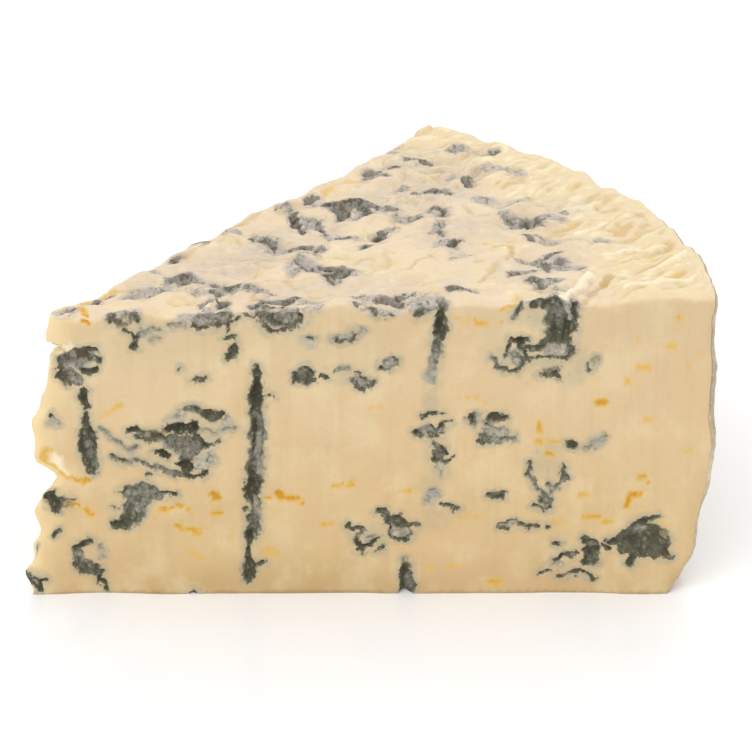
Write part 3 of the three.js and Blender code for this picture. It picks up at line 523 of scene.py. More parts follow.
# Ochre fissures of the front cut: strength, then (distance from the tip, height, half width)
FRONT_OCHRE = [
    (0.95, (3.8, 46.2, 0.35), (4.6, 45.4, 0.3)),
    (0.6, (3.6, 47.4, 0.3), (4.2, 48.6, 0.3)),
    (0.45, (8.3, 31.2, 0.4), (9.4, 31.6, 0.45)),
    (0.35, (6.2, 29.8, 0.25), (7.4, 30.2, 0.25)),
    (0.5, (0.6, 20.6, 0.4), (1.4, 19.2, 0.4)),
    (0.7, (1.5, 19.2, 0.5), (3.8, 19.2, 0.5)),
    (0.5, (-2.4, 24.4, 0.6), (-0.4, 21.6, 0.9), (0.8, 20, 0.6)),
    (0.75, (0.6, 14.9, 0.25), (2, 15, 0.35), (3.4, 14.2, 0.35), (4.6, 13.3, 0.25)),
    (0.65, (15.2, 14.4, 0.25), (17.4, 15.2, 0.35), (18.6, 15, 0.4), (19.6, 14, 0.3)),
    (0.65, (17.6, 11.6, 0.3), (19.4, 10.8, 0.5), (21, 10.5, 0.4)),
    (0.9, (23.3, 16.7, 0.6), (24, 16.5, 0.55)),
    (0.7, (23.6, 13.5, 0.5), (24.3, 13.3, 0.45)),
    (0.7, (31.2, 16, 0.25), (32.3, 16.3, 0.25)),
    (0.95, (33.2, 17, 0.5), (35, 16.6, 0.4), (37.4, 15.8, 0.4)),
    (0.4, (19.6, 7, 0.5), (21.2, 6, 0.6)),
    (0.35, (31, 7, 0.8), (33, 6.6, 0.4)),
    (0.45, (37, 11.8, 0.25), (37.5, 11.7, 0.25)),
    (0.6, (40.2, 12, 0.35), (41.7, 12, 0.25)),
    (0.6, (41.6, 18.3, 0.25), (45, 18.6, 0.22)),
    (0.45, (44.0, 19.7, 0.2), (45, 19.4, 0.25)),
    (0.6, (49.6, 18.3, 0.22), (51.6, 18, 0.28), (53.6, 17.5, 0.2)),
    (0.35, (47.4, 31.7, 0.2), (49.4, 31, 0.3), (51.8, 31.1, 0.2)),
    (0.45, (56.4, 4.3, 0.35), (56.9, 4.1, 0.3)),
    (0.5, (59.6, 4.9, 0.25), (61.4, 4.6, 0.25)),
    (0.6, (66.2, 1.5, 0.55), (67.2, 1.4, 0.5)),
    (0.6, (60.4, 45.6, 0.22), (62, 45.5, 0.22), (64, 45.5, 0.25), (67, 45.7, 0.2)),
    (0.55, (67.6, 47.8, 0.4), (69, 48.3, 0.3)),
    (0.4, (62.2, 33.2, 0.2), (64, 32.8, 0.2), (65.2, 32.2, 0.18)),
    (0.95, (82.4, 32, 0.5), (83.1, 32.3, 0.5)),
    (0.55, (94.4, 46.1, 0.5), (94.8, 45.8, 0.5)),
    (0.3, (87.8, 43, 0.6), (88.3, 42.5, 0.5)),
    (0.5, (92.6, 41.8, 0.35), (94, 42, 0.3)),
    (0.35, (97.4, 40.3, 0.25), (97.8, 41, 0.2)),
    (0.5, (88.2, 37.4, 0.25), (88.6, 38.2, 0.25), (90, 38.2, 0.2)),
    (0.55, (85.8, 35.9, 0.3), (88.4, 36, 0.3)),
    (0.35, (95.8, 37.8, 0.3), (95.9, 38.6, 0.3)),
    (0.4, (89.6, 29, 0.4), (90.6, 29.1, 0.4)),
    (0.3, (91.8, 30, 0.3), (92.6, 30.1, 0.2)),
    (0.35, (95.8, 23.8, 0.35), (96.5, 23.9, 0.3)),
    (0.95, (89.6, 19.7, 0.5), (90.2, 19.4, 0.45)),
    (0.95, (88.3, 17.2, 0.5), (87.2, 15.4, 0.65)),
    (0.6, (79.9, 17.2, 0.3), (81.4, 16.8, 0.25)),
    (0.65, (80.8, 13.1, 0.3), (82.4, 12.8, 0.35), (84.8, 12.4, 0.22)),
    (0.4, (75.8, 12.3, 0.25), (78, 12, 0.22)),
    (0.35, (60.5, 12.9, 0.15), (65.5, 12.9, 0.15)),
    (0.5, (14, 13.1, 0.3), (14.5, 12.9, 0.3)),
    (0.4, (25.3, 9.7, 0.3), (25.9, 9.5, 0.25)),
    (0.85, (73.6, 28.7, 0.3), (73.9, 27.2, 0.35)),
    (0.8, (72.4, 25.9, 0.4), (73.6, 25.6, 0.35)),
    (0.8, (74.8, 23.9, 0.35), (76, 23.6, 0.25)),
    (0.5, (75.2, 25.9, 0.5), (76.6, 25.6, 0.35)),
    (0.2, (92, 12.2, 0.7), (93.8, 11.6, 0.4)),
]

# Pale flakes of the front cut in a crack by the tip, some of them painted highlights where broken facets
# glint: strength, then places as above
FRONT_FLAKES_AND_HIGHLIGHTS = [
    (1.0, (-1.4, 23.6, 0.3), (-0.6, 22.6, 0.5), (0.3, 21.2, 0.35), (1.0, 20.2, 0.2)),
    (0.8, (0.9, 41.4, 0.3), (1.8, 41.7, 0.35), (2.6, 41.8, 0.2)),
    (0.6, (-4.2, 2.8, 0.3), (-3.4, 1.6, 0.3)),
]

# Mould of the torn top, some of it painted cave shade: colour, depth, then (distance from the tip, distance
# from the front, half width)
TOP_MOULD = {
    "tip marks": [
        ("pale", 0.5, (1.0, 0.6, 0.4), (2, 2.2, 0.35)),
        ("brown", 0.5, (1.4, 1.4, 0.25), (2.2, 2.6, 0.3)),
        ("dark", 1.0, (5.0, 4.9, 0.6), (5.8, 6.2, 0.5)),
        ("dark", 0.6, (6.8, 7.8, 0.45), (7.6, 8.6, 0.35)),
    ],
    "ring row": [
        ("pale", 0.9, (10.4, 6.9, 0.7), (12.2, 8.2, 0.9), (14, 9.3, 1.0)),
        ("dark", 0.9, (10, 6.3, 0.4), (11.6, 7.4, 0.35), (13.4, 8.3, 0.4)),
        ("ash", 1.2, (15.2, 9, 1.1), (16.2, 10.4, 1)),
        ("grey", 1.0, (14.8, 8.0, 0.5), (16.6, 9.2, 0.5)),
        ("ash", 2.2, (17.6, 14, 1.6), (19.4, 13.4, 1.9)),
        ("black", 2.6, (20.2, 12.6, 0.6), (21.4, 12.2, 0.5)),
        ("dark", 1.6, (16.6, 12.6, 0.6), (17.2, 15.2, 0.6), (19.6, 15, 0.6)),
        ("pale", 1.2, (17.6, 13.2, 1.0), (19.0, 12.0, 1.0)),
        ("ash", 1.2, (23.8, 10.6, 1.1), (25.5, 9.2, 1.2), (27, 8, 1)),
        ("dark", 1.0, (23.6, 11.6, 0.5), (25.6, 10.4, 0.45), (27.6, 8.9, 0.4)),
        ("grey", 0.8, (24.6, 8.2, 0.5), (26.4, 7.0, 0.4)),
        ("ash", 0.7, (28.5, 7, 0.8), (31, 7.2, 0.8), (31.8, 6.5, 0.6)),
        ("dark", 0.6, (29.6, 6.4, 0.4), (31.6, 6.2, 0.4)),
        ("dark", 0.7, (23.5, 7.5, 0.7), (24.5, 6.5, 0.6)),
        ("olive", 0.5, (20.4, 8.8, 0.7), (21.8, 7.6, 0.7)),
    ],
    "left rim marks": [
        ("ash", 0.6, (13.6, 17, 0.7), (14.6, 16.2, 0.5)),
        ("dark", 0.7, (16.6, 21.2, 0.6), (17.6, 22.6, 0.5)),
        ("dark", 0.6, (19.8, 28, 0.6), (21.2, 27.8, 0.6)),
        ("olive", 0.6, (25.0, 32.8, 0.6), (26.2, 32.8, 0.5)),
    ],
    "slanted row": [
        ("dark", 0.8, (29.5, 32.6, 0.4), (29.3, 30.4, 0.5)),
        ("pale", 0.9, (29.6, 29.6, 0.8), (31.2, 28.2, 1.0), (32.4, 26.6, 0.9)),
        ("dark", 1.0, (30.2, 29.6, 0.4), (31.6, 28.4, 0.45), (32.2, 26.8, 0.6)),
        ("black", 1.4, (32.2, 26.2, 0.4), (32.6, 25.6, 0.4)),
        ("ash", 0.9, (33, 26, 0.8), (34.5, 24.6, 0.7), (35, 23, 0.5)),
    ],
    "brown pit": [
        ("brown", 1.8, (35.8, 25, 0.8), (37.6, 24.6, 1.0)),
        ("dark", 1.8, (37.4, 25.2, 0.5), (38.2, 24.8, 0.4)),
        ("dark", 0.6, (36.2, 22.2, 0.3), (37.6, 21.9, 0.35), (38.8, 22.1, 0.3)),
        ("dark", 0.7, (39.2, 23.6, 0.5), (39.9, 24.4, 0.5)),
    ],
    "middle hollow": [
        ("pale", 1.2, (36.4, 19, 0.9), (38, 17.5, 1.3), (39, 15.6, 1.1)),
        ("dark", 1.2, (36, 19.2, 0.4), (36.4, 18.0, 0.35)),
        ("black", 1.6, (38.2, 18.0, 0.4), (38.4, 16.8, 0.4)),
        ("dark", 1.1, (37.0, 16.8, 0.4), (38.6, 14.8, 0.4), (39.8, 13.6, 0.4)),
        ("dark", 1.0, (39.6, 17.8, 0.4), (40.2, 16.4, 0.5)),
        ("blue", 0.5, (35.2, 16.2, 0.6), (35.8, 14.6, 0.6)),
        ("ash", 2.8, (41.6, 16.2, 1.3), (43.2, 14.8, 1.8), (43.6, 13, 1.4)),
        ("dark", 2.8, (40.8, 16.6, 0.8), (42.6, 16.8, 0.9), (44.4, 15.6, 0.7)),
        ("dark", 2.0, (42.0, 12.2, 0.8), (43.4, 11.4, 0.8), (44.8, 12.2, 0.6)),
        ("blue", 1.8, (43.6, 14.2, 0.8), (44.4, 13.4, 0.7)),
        ("ash", 1.0, (41.4, 11, 0.9), (42, 9.4, 0.8)),
        ("dark", 0.9, (40.6, 12.2, 0.4), (41.2, 10.6, 0.4)),
    ],
    "deep slot": [
        ("black", 4.0, (35.2, 40.5, 0.7), (35.5, 38.2, 1.0), (35.8, 36, 0.7)),
        ("ash", 1.3, (37.4, 38.2, 1.2), (38.3, 36.2, 1.2), (38, 34, 1.1)),
        ("pale", 1.0, (38.0, 35.2, 0.7), (38.4, 33.4, 0.8)),
        ("dark", 1.0, (39.2, 37.2, 0.4), (39.4, 34.6, 0.4), (38.8, 32.6, 0.35)),
        ("dark", 0.9, (36.8, 34.2, 0.5), (36.6, 32.6, 0.6), (36.8, 31, 0.5)),
        ("ash", 0.9, (33.2, 43.2, 0.7), (34.4, 42, 0.6)),
        ("dark", 0.9, (32.8, 42.8, 0.4), (34.0, 41.6, 0.35)),
    ],
    "back cave": [
        ("dark", 1.6, (38.2, 48, 1.1), (37.4, 46.8, 0.8)),
        ("ash", 1.2, (39, 43.4, 1.2), (41, 42.4, 1.2)),
        ("brown", 3.4, (40.5, 44.8, 1.0), (42, 43.2, 1.2), (43.5, 42.8, 1.5), (45, 43.6, 1.1)),
        ("black", 4.5, (42.8, 40.8, 1.5), (43, 38.6, 1.1), (42.8, 37.2, 0.6)),
        ("black", 3.0, (41.4, 45.6, 0.6), (44.6, 44.6, 0.6), (46.8, 44.4, 0.5)),
        ("dark", 2.4, (45.2, 43, 1.0), (46.8, 43.6, 0.9), (48.2, 43.6, 0.8)),
        ("blue", 1.3, (46.0, 41.6, 1.1), (47.2, 40.6, 1.0), (46.4, 39.2, 0.9)),
        ("dark", 1.2, (46.6, 42.4, 0.4), (47.8, 41.2, 0.4), (47.6, 39.4, 0.4)),
        ("ash", 1.0, (45.5, 38.2, 0.9), (44.8, 37, 0.6)),
        ("pale", 0.8, (49, 42.8, 0.9), (50.8, 42.2, 0.8)),
        ("dark", 0.7, (49.8, 43.4, 0.4), (51.4, 42.4, 0.4)),
    ],
    "long thread": [
        ("dark", 0.5, (39.5, 33, 0.3), (40.4, 31, 0.4), (40.6, 30.3, 0.5)),
        ("ash", 0.5, (40.6, 30.3, 0.4), (42, 29.8, 0.4), (43.5, 29.6, 0.35), (45, 29.4, 0.25)),
        ("dark", 0.5, (46.6, 25.2, 0.55), (48.5, 25.2, 0.45), (49.4, 25.2, 0.3)),
    ],
    "slot": [
        ("olive", 4.0, (48.2, 30.2, 0.6), (49.4, 30.6, 0.7)),
        ("black", 4.0, (49.4, 31.2, 0.7), (49, 29.6, 0.8), (48.9, 28.2, 0.5)),
        ("ash", 0.6, (50.3, 32.4, 0.5), (51.6, 33.6, 0.4)),
    ],
    "bead row": [
        ("ash", 0.8, (51.6, 39.8, 0.6), (54, 38.5, 0.7)),
        ("pale", 0.8, (52.8, 36.8, 1.0), (54.6, 36.4, 1.0)),
        ("dark", 0.9, (52.2, 37.4, 0.35), (53.4, 35.6, 0.4), (54.8, 35.4, 0.4)),
        ("dark", 0.9, (53.8, 37.6, 0.5), (55.2, 37.4, 0.5)),
        ("dark", 1.0, (54.8, 38.6, 0.35), (56.2, 39.8, 0.5), (57.5, 41.4, 0.4), (58.4, 41.2, 0.4)),
        ("dark", 0.9, (58.4, 41.2, 0.4), (59.2, 39.4, 0.5), (59.1, 38.4, 0.45)),
        ("pale", 0.6, (57.2, 39.6, 0.8), (57.8, 38.8, 0.7)),
        ("olive", 0.5, (59, 37.9, 0.6), (59.4, 37.1, 0.5)),
        ("ash", 0.5, (55.6, 36.3, 0.3), (57.5, 36.3, 0.3)),
    ],
    "clouds": [
        ("ash", 0.9, (55.4, 47, 1.0), (57.6, 48, 0.9), (58.6, 47.4, 0.8)),
        ("dark", 0.8, (56.6, 48.2, 0.5), (57.8, 48.8, 0.5)),
        ("blue", 0.8, (58.4, 47.0, 0.6), (59.6, 49, 0.6)),
        ("dark", 0.7, (59.0, 48.2, 0.35), (60.0, 47.6, 0.35)),
        ("ash", 0.6, (53.2, 52.4, 0.6), (52.6, 51, 0.5)),
        ("grey", 0.9, (61, 67.5, 0.9), (62.4, 68.4, 0.7)),
        ("olive", 0.4, (51.2, 68.2, 0.5), (51.6, 68.6, 0.5)),
        ("ash", 0.5, (52, 72.4, 0.5), (51.2, 71, 0.4)),
        ("pale", 0.3, (67, 59.4, 0.8), (70, 57.6, 1.0), (71.6, 56.2, 0.7)),
        ("pale", 0.3, (69, 42, 0.9), (71.8, 43, 0.7)),
        ("pale", 0.3, (64.8, 44.2, 0.9), (66.8, 44.8, 0.7)),
        ("dark", 0.3, (65.4, 44.0, 0.3), (66.2, 44.4, 0.3)),
    ],
    "far pits": [
        ("dark", 2.0, (47.2, 59.4, 0.9), (48.4, 58.8, 0.7)),
        ("ash", 1.0, (47, 57.8, 0.7), (49.6, 56.6, 0.8)),
        ("dark", 0.8, (50.8, 59.4, 0.7), (51.6, 59.2, 0.6)),
        ("dark", 2.2, (55.2, 64, 0.7), (56.8, 63, 0.7)),
        ("ash", 1.0, (54, 63.6, 0.6), (53.2, 62.8, 0.5)),
        ("dark", 1.0, (62.9, 55.2, 0.6), (63.3, 53, 0.7), (63.4, 51.8, 0.45)),
        ("blue", 0.4, (61, 55.5, 0.4), (60.2, 54.5, 0.3)),
        ("grey", 0.8, (66.2, 64.2, 0.45), (67.4, 65.2, 0.6), (68.2, 66, 0.5)),
    ],
    "broad hollow": [
        ("ash", 1.8, (69.0, 36.6, 0.8), (70.2, 35, 1.2), (72, 34.8, 1.2)),
        ("dark", 2.0, (70.0, 34.0, 1.0), (70.4, 32.4, 1.0), (70.6, 31, 0.9)),
        ("ash", 1.8, (71.8, 33.6, 1.2), (73.2, 33.0, 1.2), (73.8, 31.6, 1.0)),
        ("blue", 1.6, (72.2, 32.2, 0.7), (73.4, 34.2, 0.7)),
        ("black", 2.0, (70.4, 33.4, 0.45), (70.9, 31.8, 0.4)),
        ("dark", 1.4, (71.4, 35.9, 0.45), (73.4, 35.1, 0.4), (74.8, 33.2, 0.45)),
        ("dark", 1.2, (71.6, 32.2, 0.4), (72.8, 30.6, 0.45), (74.2, 30.9, 0.4)),
        ("pale", 0.6, (75.8, 34.8, 1.1), (77.4, 33.8, 0.8)),
        ("dark", 0.6, (76.8, 33.4, 0.4), (77.6, 33.0, 0.4)),
        ("ash", 0.4, (77.8, 36.6, 0.5), (78.2, 37.4, 0.5)),
    ],
    "hooked thread": [
        ("dark", 0.8, (72.2, 26.8, 0.6), (72.8, 25.2, 0.45)),
        ("ash", 0.5, (73.2, 28, 0.35), (74.8, 26.8, 0.35), (76.2, 25.4, 0.28)),
        ("blue", 0.6, (83.2, 24, 0.7), (84, 22.6, 0.5)),
        ("ash", 0.6, (60.6, 20.6, 0.4), (61.6, 20.2, 0.5), (62.8, 19, 0.5)),
        ("dark", 0.6, (61.4, 20.0, 0.35), (62.4, 19.2, 0.4)),
        ("ash", 0.7, (58.2, 25.6, 0.35), (59.2, 25.8, 0.4)),
        ("dark", 0.9, (60, 24.8, 0.6), (61, 26.2, 0.6)),
        ("ash", 0.7, (58.8, 34.4, 0.6), (58.5, 32.6, 0.7)),
        ("pale", 0.7, (58.2, 31.2, 0.8), (57.4, 30.2, 0.5)),
        ("dark", 0.8, (58.6, 31.4, 0.35), (58.6, 29.6, 0.4)),
    ],
    "forked mould": [
        ("dark", 1.4, (75.2, 18.9, 0.8), (76.4, 19.8, 0.7)),
        ("ash", 1.6, (73.4, 17.4, 1.0), (74.2, 15.6, 1.1), (74.6, 13.8, 0.9)),
        ("dark", 1.4, (74.6, 16.4, 0.7), (74.8, 14.4, 0.7), (74.6, 13, 0.5)),
        ("ash", 0.9, (70.6, 17.6, 0.6), (72, 17.6, 0.7)),
        ("dark", 0.7, (70.8, 18.2, 0.35), (71.4, 17.0, 0.35)),
        ("dark", 1.2, (76.2, 15.8, 0.8), (76.9, 17, 0.7)),
        ("dark", 1.1, (78.6, 12.4, 0.5), (79.6, 11.4, 0.7)),
        ("pale", 0.5, (77, 13.6, 0.6), (78.2, 12.8, 0.5)),
    ],
    "near marks": [
        ("ash", 0.7, (69.6, 11.2, 0.5), (71.4, 10.8, 0.6), (72.6, 11.8, 0.35)),
        ("dark", 0.6, (69.4, 11.8, 0.35), (70.8, 10.4, 0.35)),
        ("dark", 1.8, (72.6, 7.7, 0.8), (74, 7.0, 0.8), (73.2, 5.8, 0.7)),
        ("ash", 1.0, (74.6, 7.8, 0.5), (76, 7.6, 0.5)),
        ("ash", 0.8, (76.6, 4.4, 0.7), (75.8, 5.4, 0.5)),
        ("dark", 1.4, (59.8, 4.4, 0.45), (60.8, 4.9, 0.8)),
        ("ash", 0.8, (61.6, 4.8, 0.6), (63, 4.6, 0.6)),
    ],
    "front edge caves": [
        ("black", 3.0, (24.8, 1.6, 0.7), (25.1, 3.2, 0.75)),
        ("dark", 0.9, (22.0, 3.8, 0.4), (23.6, 4.6, 0.4)),
        ("black", 2.2, (29.8, 0.6, 0.7), (30.8, 1.2, 0.7)),
        ("brown", 3.0, (32, 2.2, 1.2), (34.6, 2.4, 1.3)),
        ("dark", 2.4, (31.2, 3.4, 0.5), (34, 3.8, 0.5), (36.6, 3.6, 0.5)),
        ("pale", 0.8, (38.0, 2.6, 0.7), (39.6, 2.2, 0.7)),
        ("brown", 3.0, (48.6, 2, 0.8), (50.5, 3.2, 1.1), (51.8, 2.4, 1.0)),
        ("black", 2.8, (51.8, 3.8, 0.6), (52.2, 4.8, 0.5)),
        ("dark", 0.8, (44.8, 2.2, 0.4), (45.2, 3.4, 0.4), (46.2, 3.4, 0.35)),
        ("pale", 0.5, (46.6, 1.8, 0.6), (47.4, 2.4, 0.5)),
        ("ash", 0.8, (53.8, 2, 0.7), (56.5, 1.6, 0.9), (58.2, 0.8, 0.9)),
        ("dark", 0.8, (53.4, 4.4, 0.4), (54.4, 3.6, 0.4)),
    ],
}

TOP_BLOOM = [
    (0.34, (46, 42, 9), (58, 50, 10), (56, 64, 9)),
    (0.26, (60, 30, 8), (72, 34, 9), (78, 40, 7)),
    (0.3, (14, 10, 6), (30, 24, 9), (38, 34, 8)),
    (0.2, (30, 6, 6), (44, 8, 7), (58, 6, 6)),
    (0.2, (70, 12, 7), (78, 18, 6)),
    (0.5, (12, 8.6, 2.6), (20, 12.6, 4), (30, 7.6, 2.6)),
    (0.6, (30, 30, 2.2), (34, 24.6, 2.4)),
    (0.95, (37, 18.4, 3.4), (43.2, 14, 4.2)),
    (0.6, (36.4, 38, 3), (37.4, 33, 2.8)),
    (0.65, (39, 45, 3.2), (44, 41, 4), (49.6, 42.4, 2.8)),
    (0.5, (40, 31, 1.4), (46, 29, 1.4)),
    (0.5, (49.2, 30.6, 2), (51, 33, 1.8)),
    (0.6, (54, 37.4, 3), (58.6, 40, 2.8)),
    (0.5, (57.4, 47.6, 2.6), (58.6, 48, 2.6)),
    (0.45, (52, 51.6, 1.8), (53.4, 52.4, 1.8)),
    (0.5, (48, 58, 2.4), (55.6, 63.6, 2.2)),
    (0.4, (62, 68, 2.2), (67, 65, 2)),
    (0.5, (63, 53.6, 2.2), (66, 58, 2.6), (71, 57, 2.6)),
    (0.45, (65, 44, 2.6), (72, 43, 2.6)),
    (0.65, (70.6, 34, 3.4), (75.6, 34, 3.4)),
    (0.5, (73, 26.4, 2.2), (80, 24, 2.6), (85, 23, 2.4)),
    (0.55, (58.4, 32.6, 2), (59.6, 25.6, 1.8), (62, 20, 1.8)),
    (0.9, (74.8, 17, 3.8), (79, 12.6, 2.8)),
    (0.55, (71, 11, 2), (73.6, 6.8, 2.6)),
    (0.4, (61, 4.8, 2), (63, 4.6, 1.6)),
    (0.6, (32, 2.4, 2.6), (39.6, 2.4, 2.4)),
    (0.5, (46, 2.4, 2), (57, 2, 2.4)),
]

TOP_OCHRE = [
    (0.75, (3.4, 3.6, 0.5), (4.2, 0, 0.35)),
    (0.4, (3, 6, 0.9), (8, 10.4, 0.7)),
    # Partly painted shade: the ochre beside the lifted flap darkens its shaded side
    (0.2, (82.8, 6.4, 0.3), (83.8, 8.0, 0.5)),
    (0.3, (79, 32.4, 0.45), (79.6, 32.2, 0.4)),
    (0.3, (66, 24.4, 0.35), (69, 22.4, 0.35), (69, 20, 0.3)),
    (0.3, (67, 15, 0.3), (65.4, 12.4, 0.3)),
    (0.15, (77, 43.6, 1.3), (78.4, 43, 1.2)),
    (0.35, (70.2, 2.6, 0.5), (69, 0.6, 0.5)),
    (0.3, (52, 8, 0.3), (60, 12, 0.25)),
    (0.3, (86, 14, 0.4), (92, 19, 0.4)),
    (0.3, (40, 50.4, 0.8), (45, 57, 0.8)),
    (0.3, (88, 5, 0.4), (95, 10, 0.4)),
]

# Fine creases and bright edges of the torn top, the creases sunk a little and darkened with painted shade:
# strength, then places as above
TOP_CREASES = [
    (0.8, (66.9, 22.6, 0.25), (68.2, 23.8, 0.35), (69.3, 22, 0.35), (69.3, 19, 0.3), (68.5, 16.5, 0.2)),
    (0.7, (64.6, 9.6, 0.3), (66, 12, 0.35), (67.5, 15.3, 0.25)),
    (0.6, (52.1, 12.8, 0.2), (55, 17, 0.3), (57.9, 23, 0.2)),
    (0.45, (44.6, 18.6, 0.2), (46.2, 20.6, 0.25), (48, 19.2, 0.25), (48.4, 14.9, 0.25), (46.5, 12.5, 0.2)),
    (0.4, (49.8, 22.5, 0.2), (50.2, 17, 0.25), (49.7, 12.6, 0.2)),
    (0.6, (17, 21.1, 0.5), (21.5, 26.7, 0.4)),
    (0.5, (25.2, 33.5, 0.5), (29.8, 40.7, 0.4)),
    (0.7, (79.4, -1, 0.3), (81.2, 3.6, 0.4), (82.4, 6, 0.5), (84, 8.8, 0.7)),
    (0.5, (62, 41, 0.3), (64.6, 38.6, 0.35), (66, 38.2, 0.3)),
    (0.5, (26, 20, 0.3), (30.6, 22.2, 0.35), (33, 21.4, 0.3)),
    (0.4, (56, 57, 0.4), (59.4, 60, 0.5), (60.6, 62, 0.4)),
]
# Painted highlights on the lifted flap, the lifted flake and the fold crests of the torn top, and pale
# flakes by the tip: strength, then places as above
TOP_FLAKES_AND_HIGHLIGHTS = [
    (0.9, (76.4, -1, 0.6), (79, 4.2, 0.8), (81.0, 8.8, 0.8)),
    (0.8, (22.6, 3.4, 0.6), (24, 4.6, 0.5)),
    (0.7, (0.2, -0.6, 0.6), (1.6, 1.2, 0.5)),
    (0.8, (86, 2.6, 0.3), (92, 5, 0.5), (97, 7.6, 0.3)),
    (0.8, (85.6, 8.6, 0.3), (91, 12, 0.5), (96, 14.6, 0.3)),
    (0.7, (83, 16.4, 0.3), (88.4, 19.4, 0.5), (93.6, 22, 0.3)),
    (0.6, (84, 5.6, 0.2), (89, 8.4, 0.35), (94, 10, 0.25)),
    (0.6, (80, 27.6, 0.3), (84.6, 32, 0.4), (88, 33.4, 0.3)),
    (0.5, (76, 36, 0.25), (80.6, 40.6, 0.4), (84, 42, 0.3)),
    (0.5, (70, 47, 0.3), (74, 52, 0.4), (76, 54.6, 0.25)),
]

# Ridges that stand up from the torn top: rise, then (x, y, half width). The flap is lower here than in
# the solid, and the folds are lower and narrower.
TOP_RIDGES = {
    "lifted flake": (0.9, (22.4, 0.8, 0.5), (23.6, 1.4, 0.9), (24, 3.4, 0.5)),
    "edge crag": (1.3, (33.4, 42, 1.1), (35.4, 45.2, 1.3)),
    "far peak": (1.0, (55.6, 76, 0.9), (57.2, 77.6, 0.9)),
    "lifted flap": (0.9, (77.6, 0.6, 0.7), (79.4, 4.6, 1.1), (81.0, 8.6, 1.0)),
    "near fold": (0.5, (86, 2.6, 0.5), (92, 5, 0.7), (97, 7.6, 0.5)),
    "middle fold": (0.5, (85.6, 8.6, 0.5), (91, 12, 0.7), (96, 14.6, 0.5)),
    "far fold": (0.5, (83, 16.4, 0.5), (88.4, 19.4, 0.7), (93.6, 22, 0.5)),
}
RAISED = {"ridges": [("ridge", *stroke) for stroke in TOP_RIDGES.values()]}

# Way in under each face with pockets
BACK_IN = np.array((math.sin(WEDGE_ANGLE), -math.cos(WEDGE_ANGLE), 0))
INWARD = dict(front=np.array((0, 1, 0)), top=np.array((0, 0, -1)), back=BACK_IN)

# The back cut, which the photo doesn't show, has the same kinds of mould as the front
BACK_SEED = 11
BACK_CHANNELS = dict(
    count=3,
    spacing=24,
    first=17,
    drift=3,
    sway=(-0.5, 0.5),
    half_width=(0.7, 1.4),
    core=0.6,
    depth=2,
    top=(35, 50),
    foot=(0, 15),
)
BACK_POCKETS = dict(
    count=15,
    along=(8, 84),
    heights=(5, 44),
    height_step=0.618,
    scatter=(0, 0.2),
    lift=(-0.3, 0.3),
    reach=(1.5, 3.5),
    slant=(-0.6, 0.6),
    half_width=(0.7, 1.5),
    start=0.7,
    end=0.6,
    core=0.55,
    depth=(1, 2.6),
    colours=("grey", "pale", "blue"),
)
BACK_MARKS = dict(
    count=90,
    along=(3, 94),
    height=(1, 45),
    half_width=(0.2, 0.5),
    run=(0.4, 2.4),
    slant=(-0.8, 0.8),
    lift=(-0.5, 0.5),
    start=0.7,
    end=0.6,
    depth=0.6,
    colours=("dark", "dark", "grey", "blue"),
)
BACK_STREAKS = dict(
    count=40,
    along=(2, 96),
    height=(2, 46),
    run=(0.6, 3),
    half_width=(0.2, 0.5),
    lift=(-0.4, 0.4),
    strength=(0.3, 0.9),
)
BACK_BLOOM = dict(strength=0.5, reach=1.6)

# Flat places of the faces for the texture that holds their colour: where each starts, its scale and turn
CHART_SIZE = 155
CHART_TIP_ROOM = 6
CHARTS = dict(
    front=(1, 1, 1, False),
    top=(1, 53, 1, False),
    back=(110, 1, 0.75, True),
    rind=(110, 79, 0.75, True),
    tip=(149.5, 1, 1, False),
    bottom=(1, 136, 0.22, False),
)

# Studio: sizes in metres, but for the camera's distance and aim, which are in the wedge's millimetres
CAMERA = dict(
    tilt=math.radians(22.711), distance=700, aim=(48.36, 25, 26.19), lens=211.4, sensor=36, reach=20
)
LIGHTS = dict(
    key=dict(place=(-0.35, -0.8, 1.0), size=0.9, power=4.8),
    back=dict(place=(0.3, 0.9, 0.8), size=0.8, power=1.2),
)
LIGHT_AIM = (0, 0, 0.02)
SKY_LIGHT = 0.99
FLOOR_HALF = 3
FLOOR_TONES = ((0.93, 0.935, 0.95, 1), (0.94, 0.945, 0.96, 1))


# Eased steps, random draws and ripples, as in the solid
def smooth(value):
    share = np.clip(value, 0, 1)
    return share * share * (3 - 2 * share)


def bump(distance, spread):
    return np.exp(-((distance / spread) ** 2))


def between(first, last, share):
    return first + (last - first) * share


def make_draw(seed):
    """A draw of numbers between two bounds, in the same order on each run."""
    state = seed

    def draw(bounds):
        nonlocal state
        state = (state * DRAW_FACTOR) % DRAW_LIMIT
        return between(*bounds, state / DRAW_LIMIT)

    return draw


def ripple(places, size, seed):
    total = 0
    for k in range(RIPPLE["waves"]):
        turn = RIPPLE["turn"] * (k + seed)
        tilt = RIPPLE["tilt"] * math.sin(RIPPLE["tilt_step"] * k + seed)
        along = places @ (math.cos(turn), math.sin(turn), tilt)
        wavelength = size * (RIPPLE["shortest"] + RIPPLE["growth"] * k)
        total = total + np.sin(2 * math.pi * along / wavelength + RIPPLE["shift"] * k * seed)
    return total / RIPPLE["evening"]


# The even form of the wedge, then its broad relief. A place on it is three shares: from the tip to
# the rind, from the front cut to the back one and from the floor to the top.
def top_height(x):
    return TIP_HEIGHT + (RIND_HEIGHT - TIP_HEIGHT) * x / WHEEL_RADIUS


def sunk(dip, height):
    return dip["reach"] * smooth((dip["start"] - height) / (dip["start"] - dip["end"]))


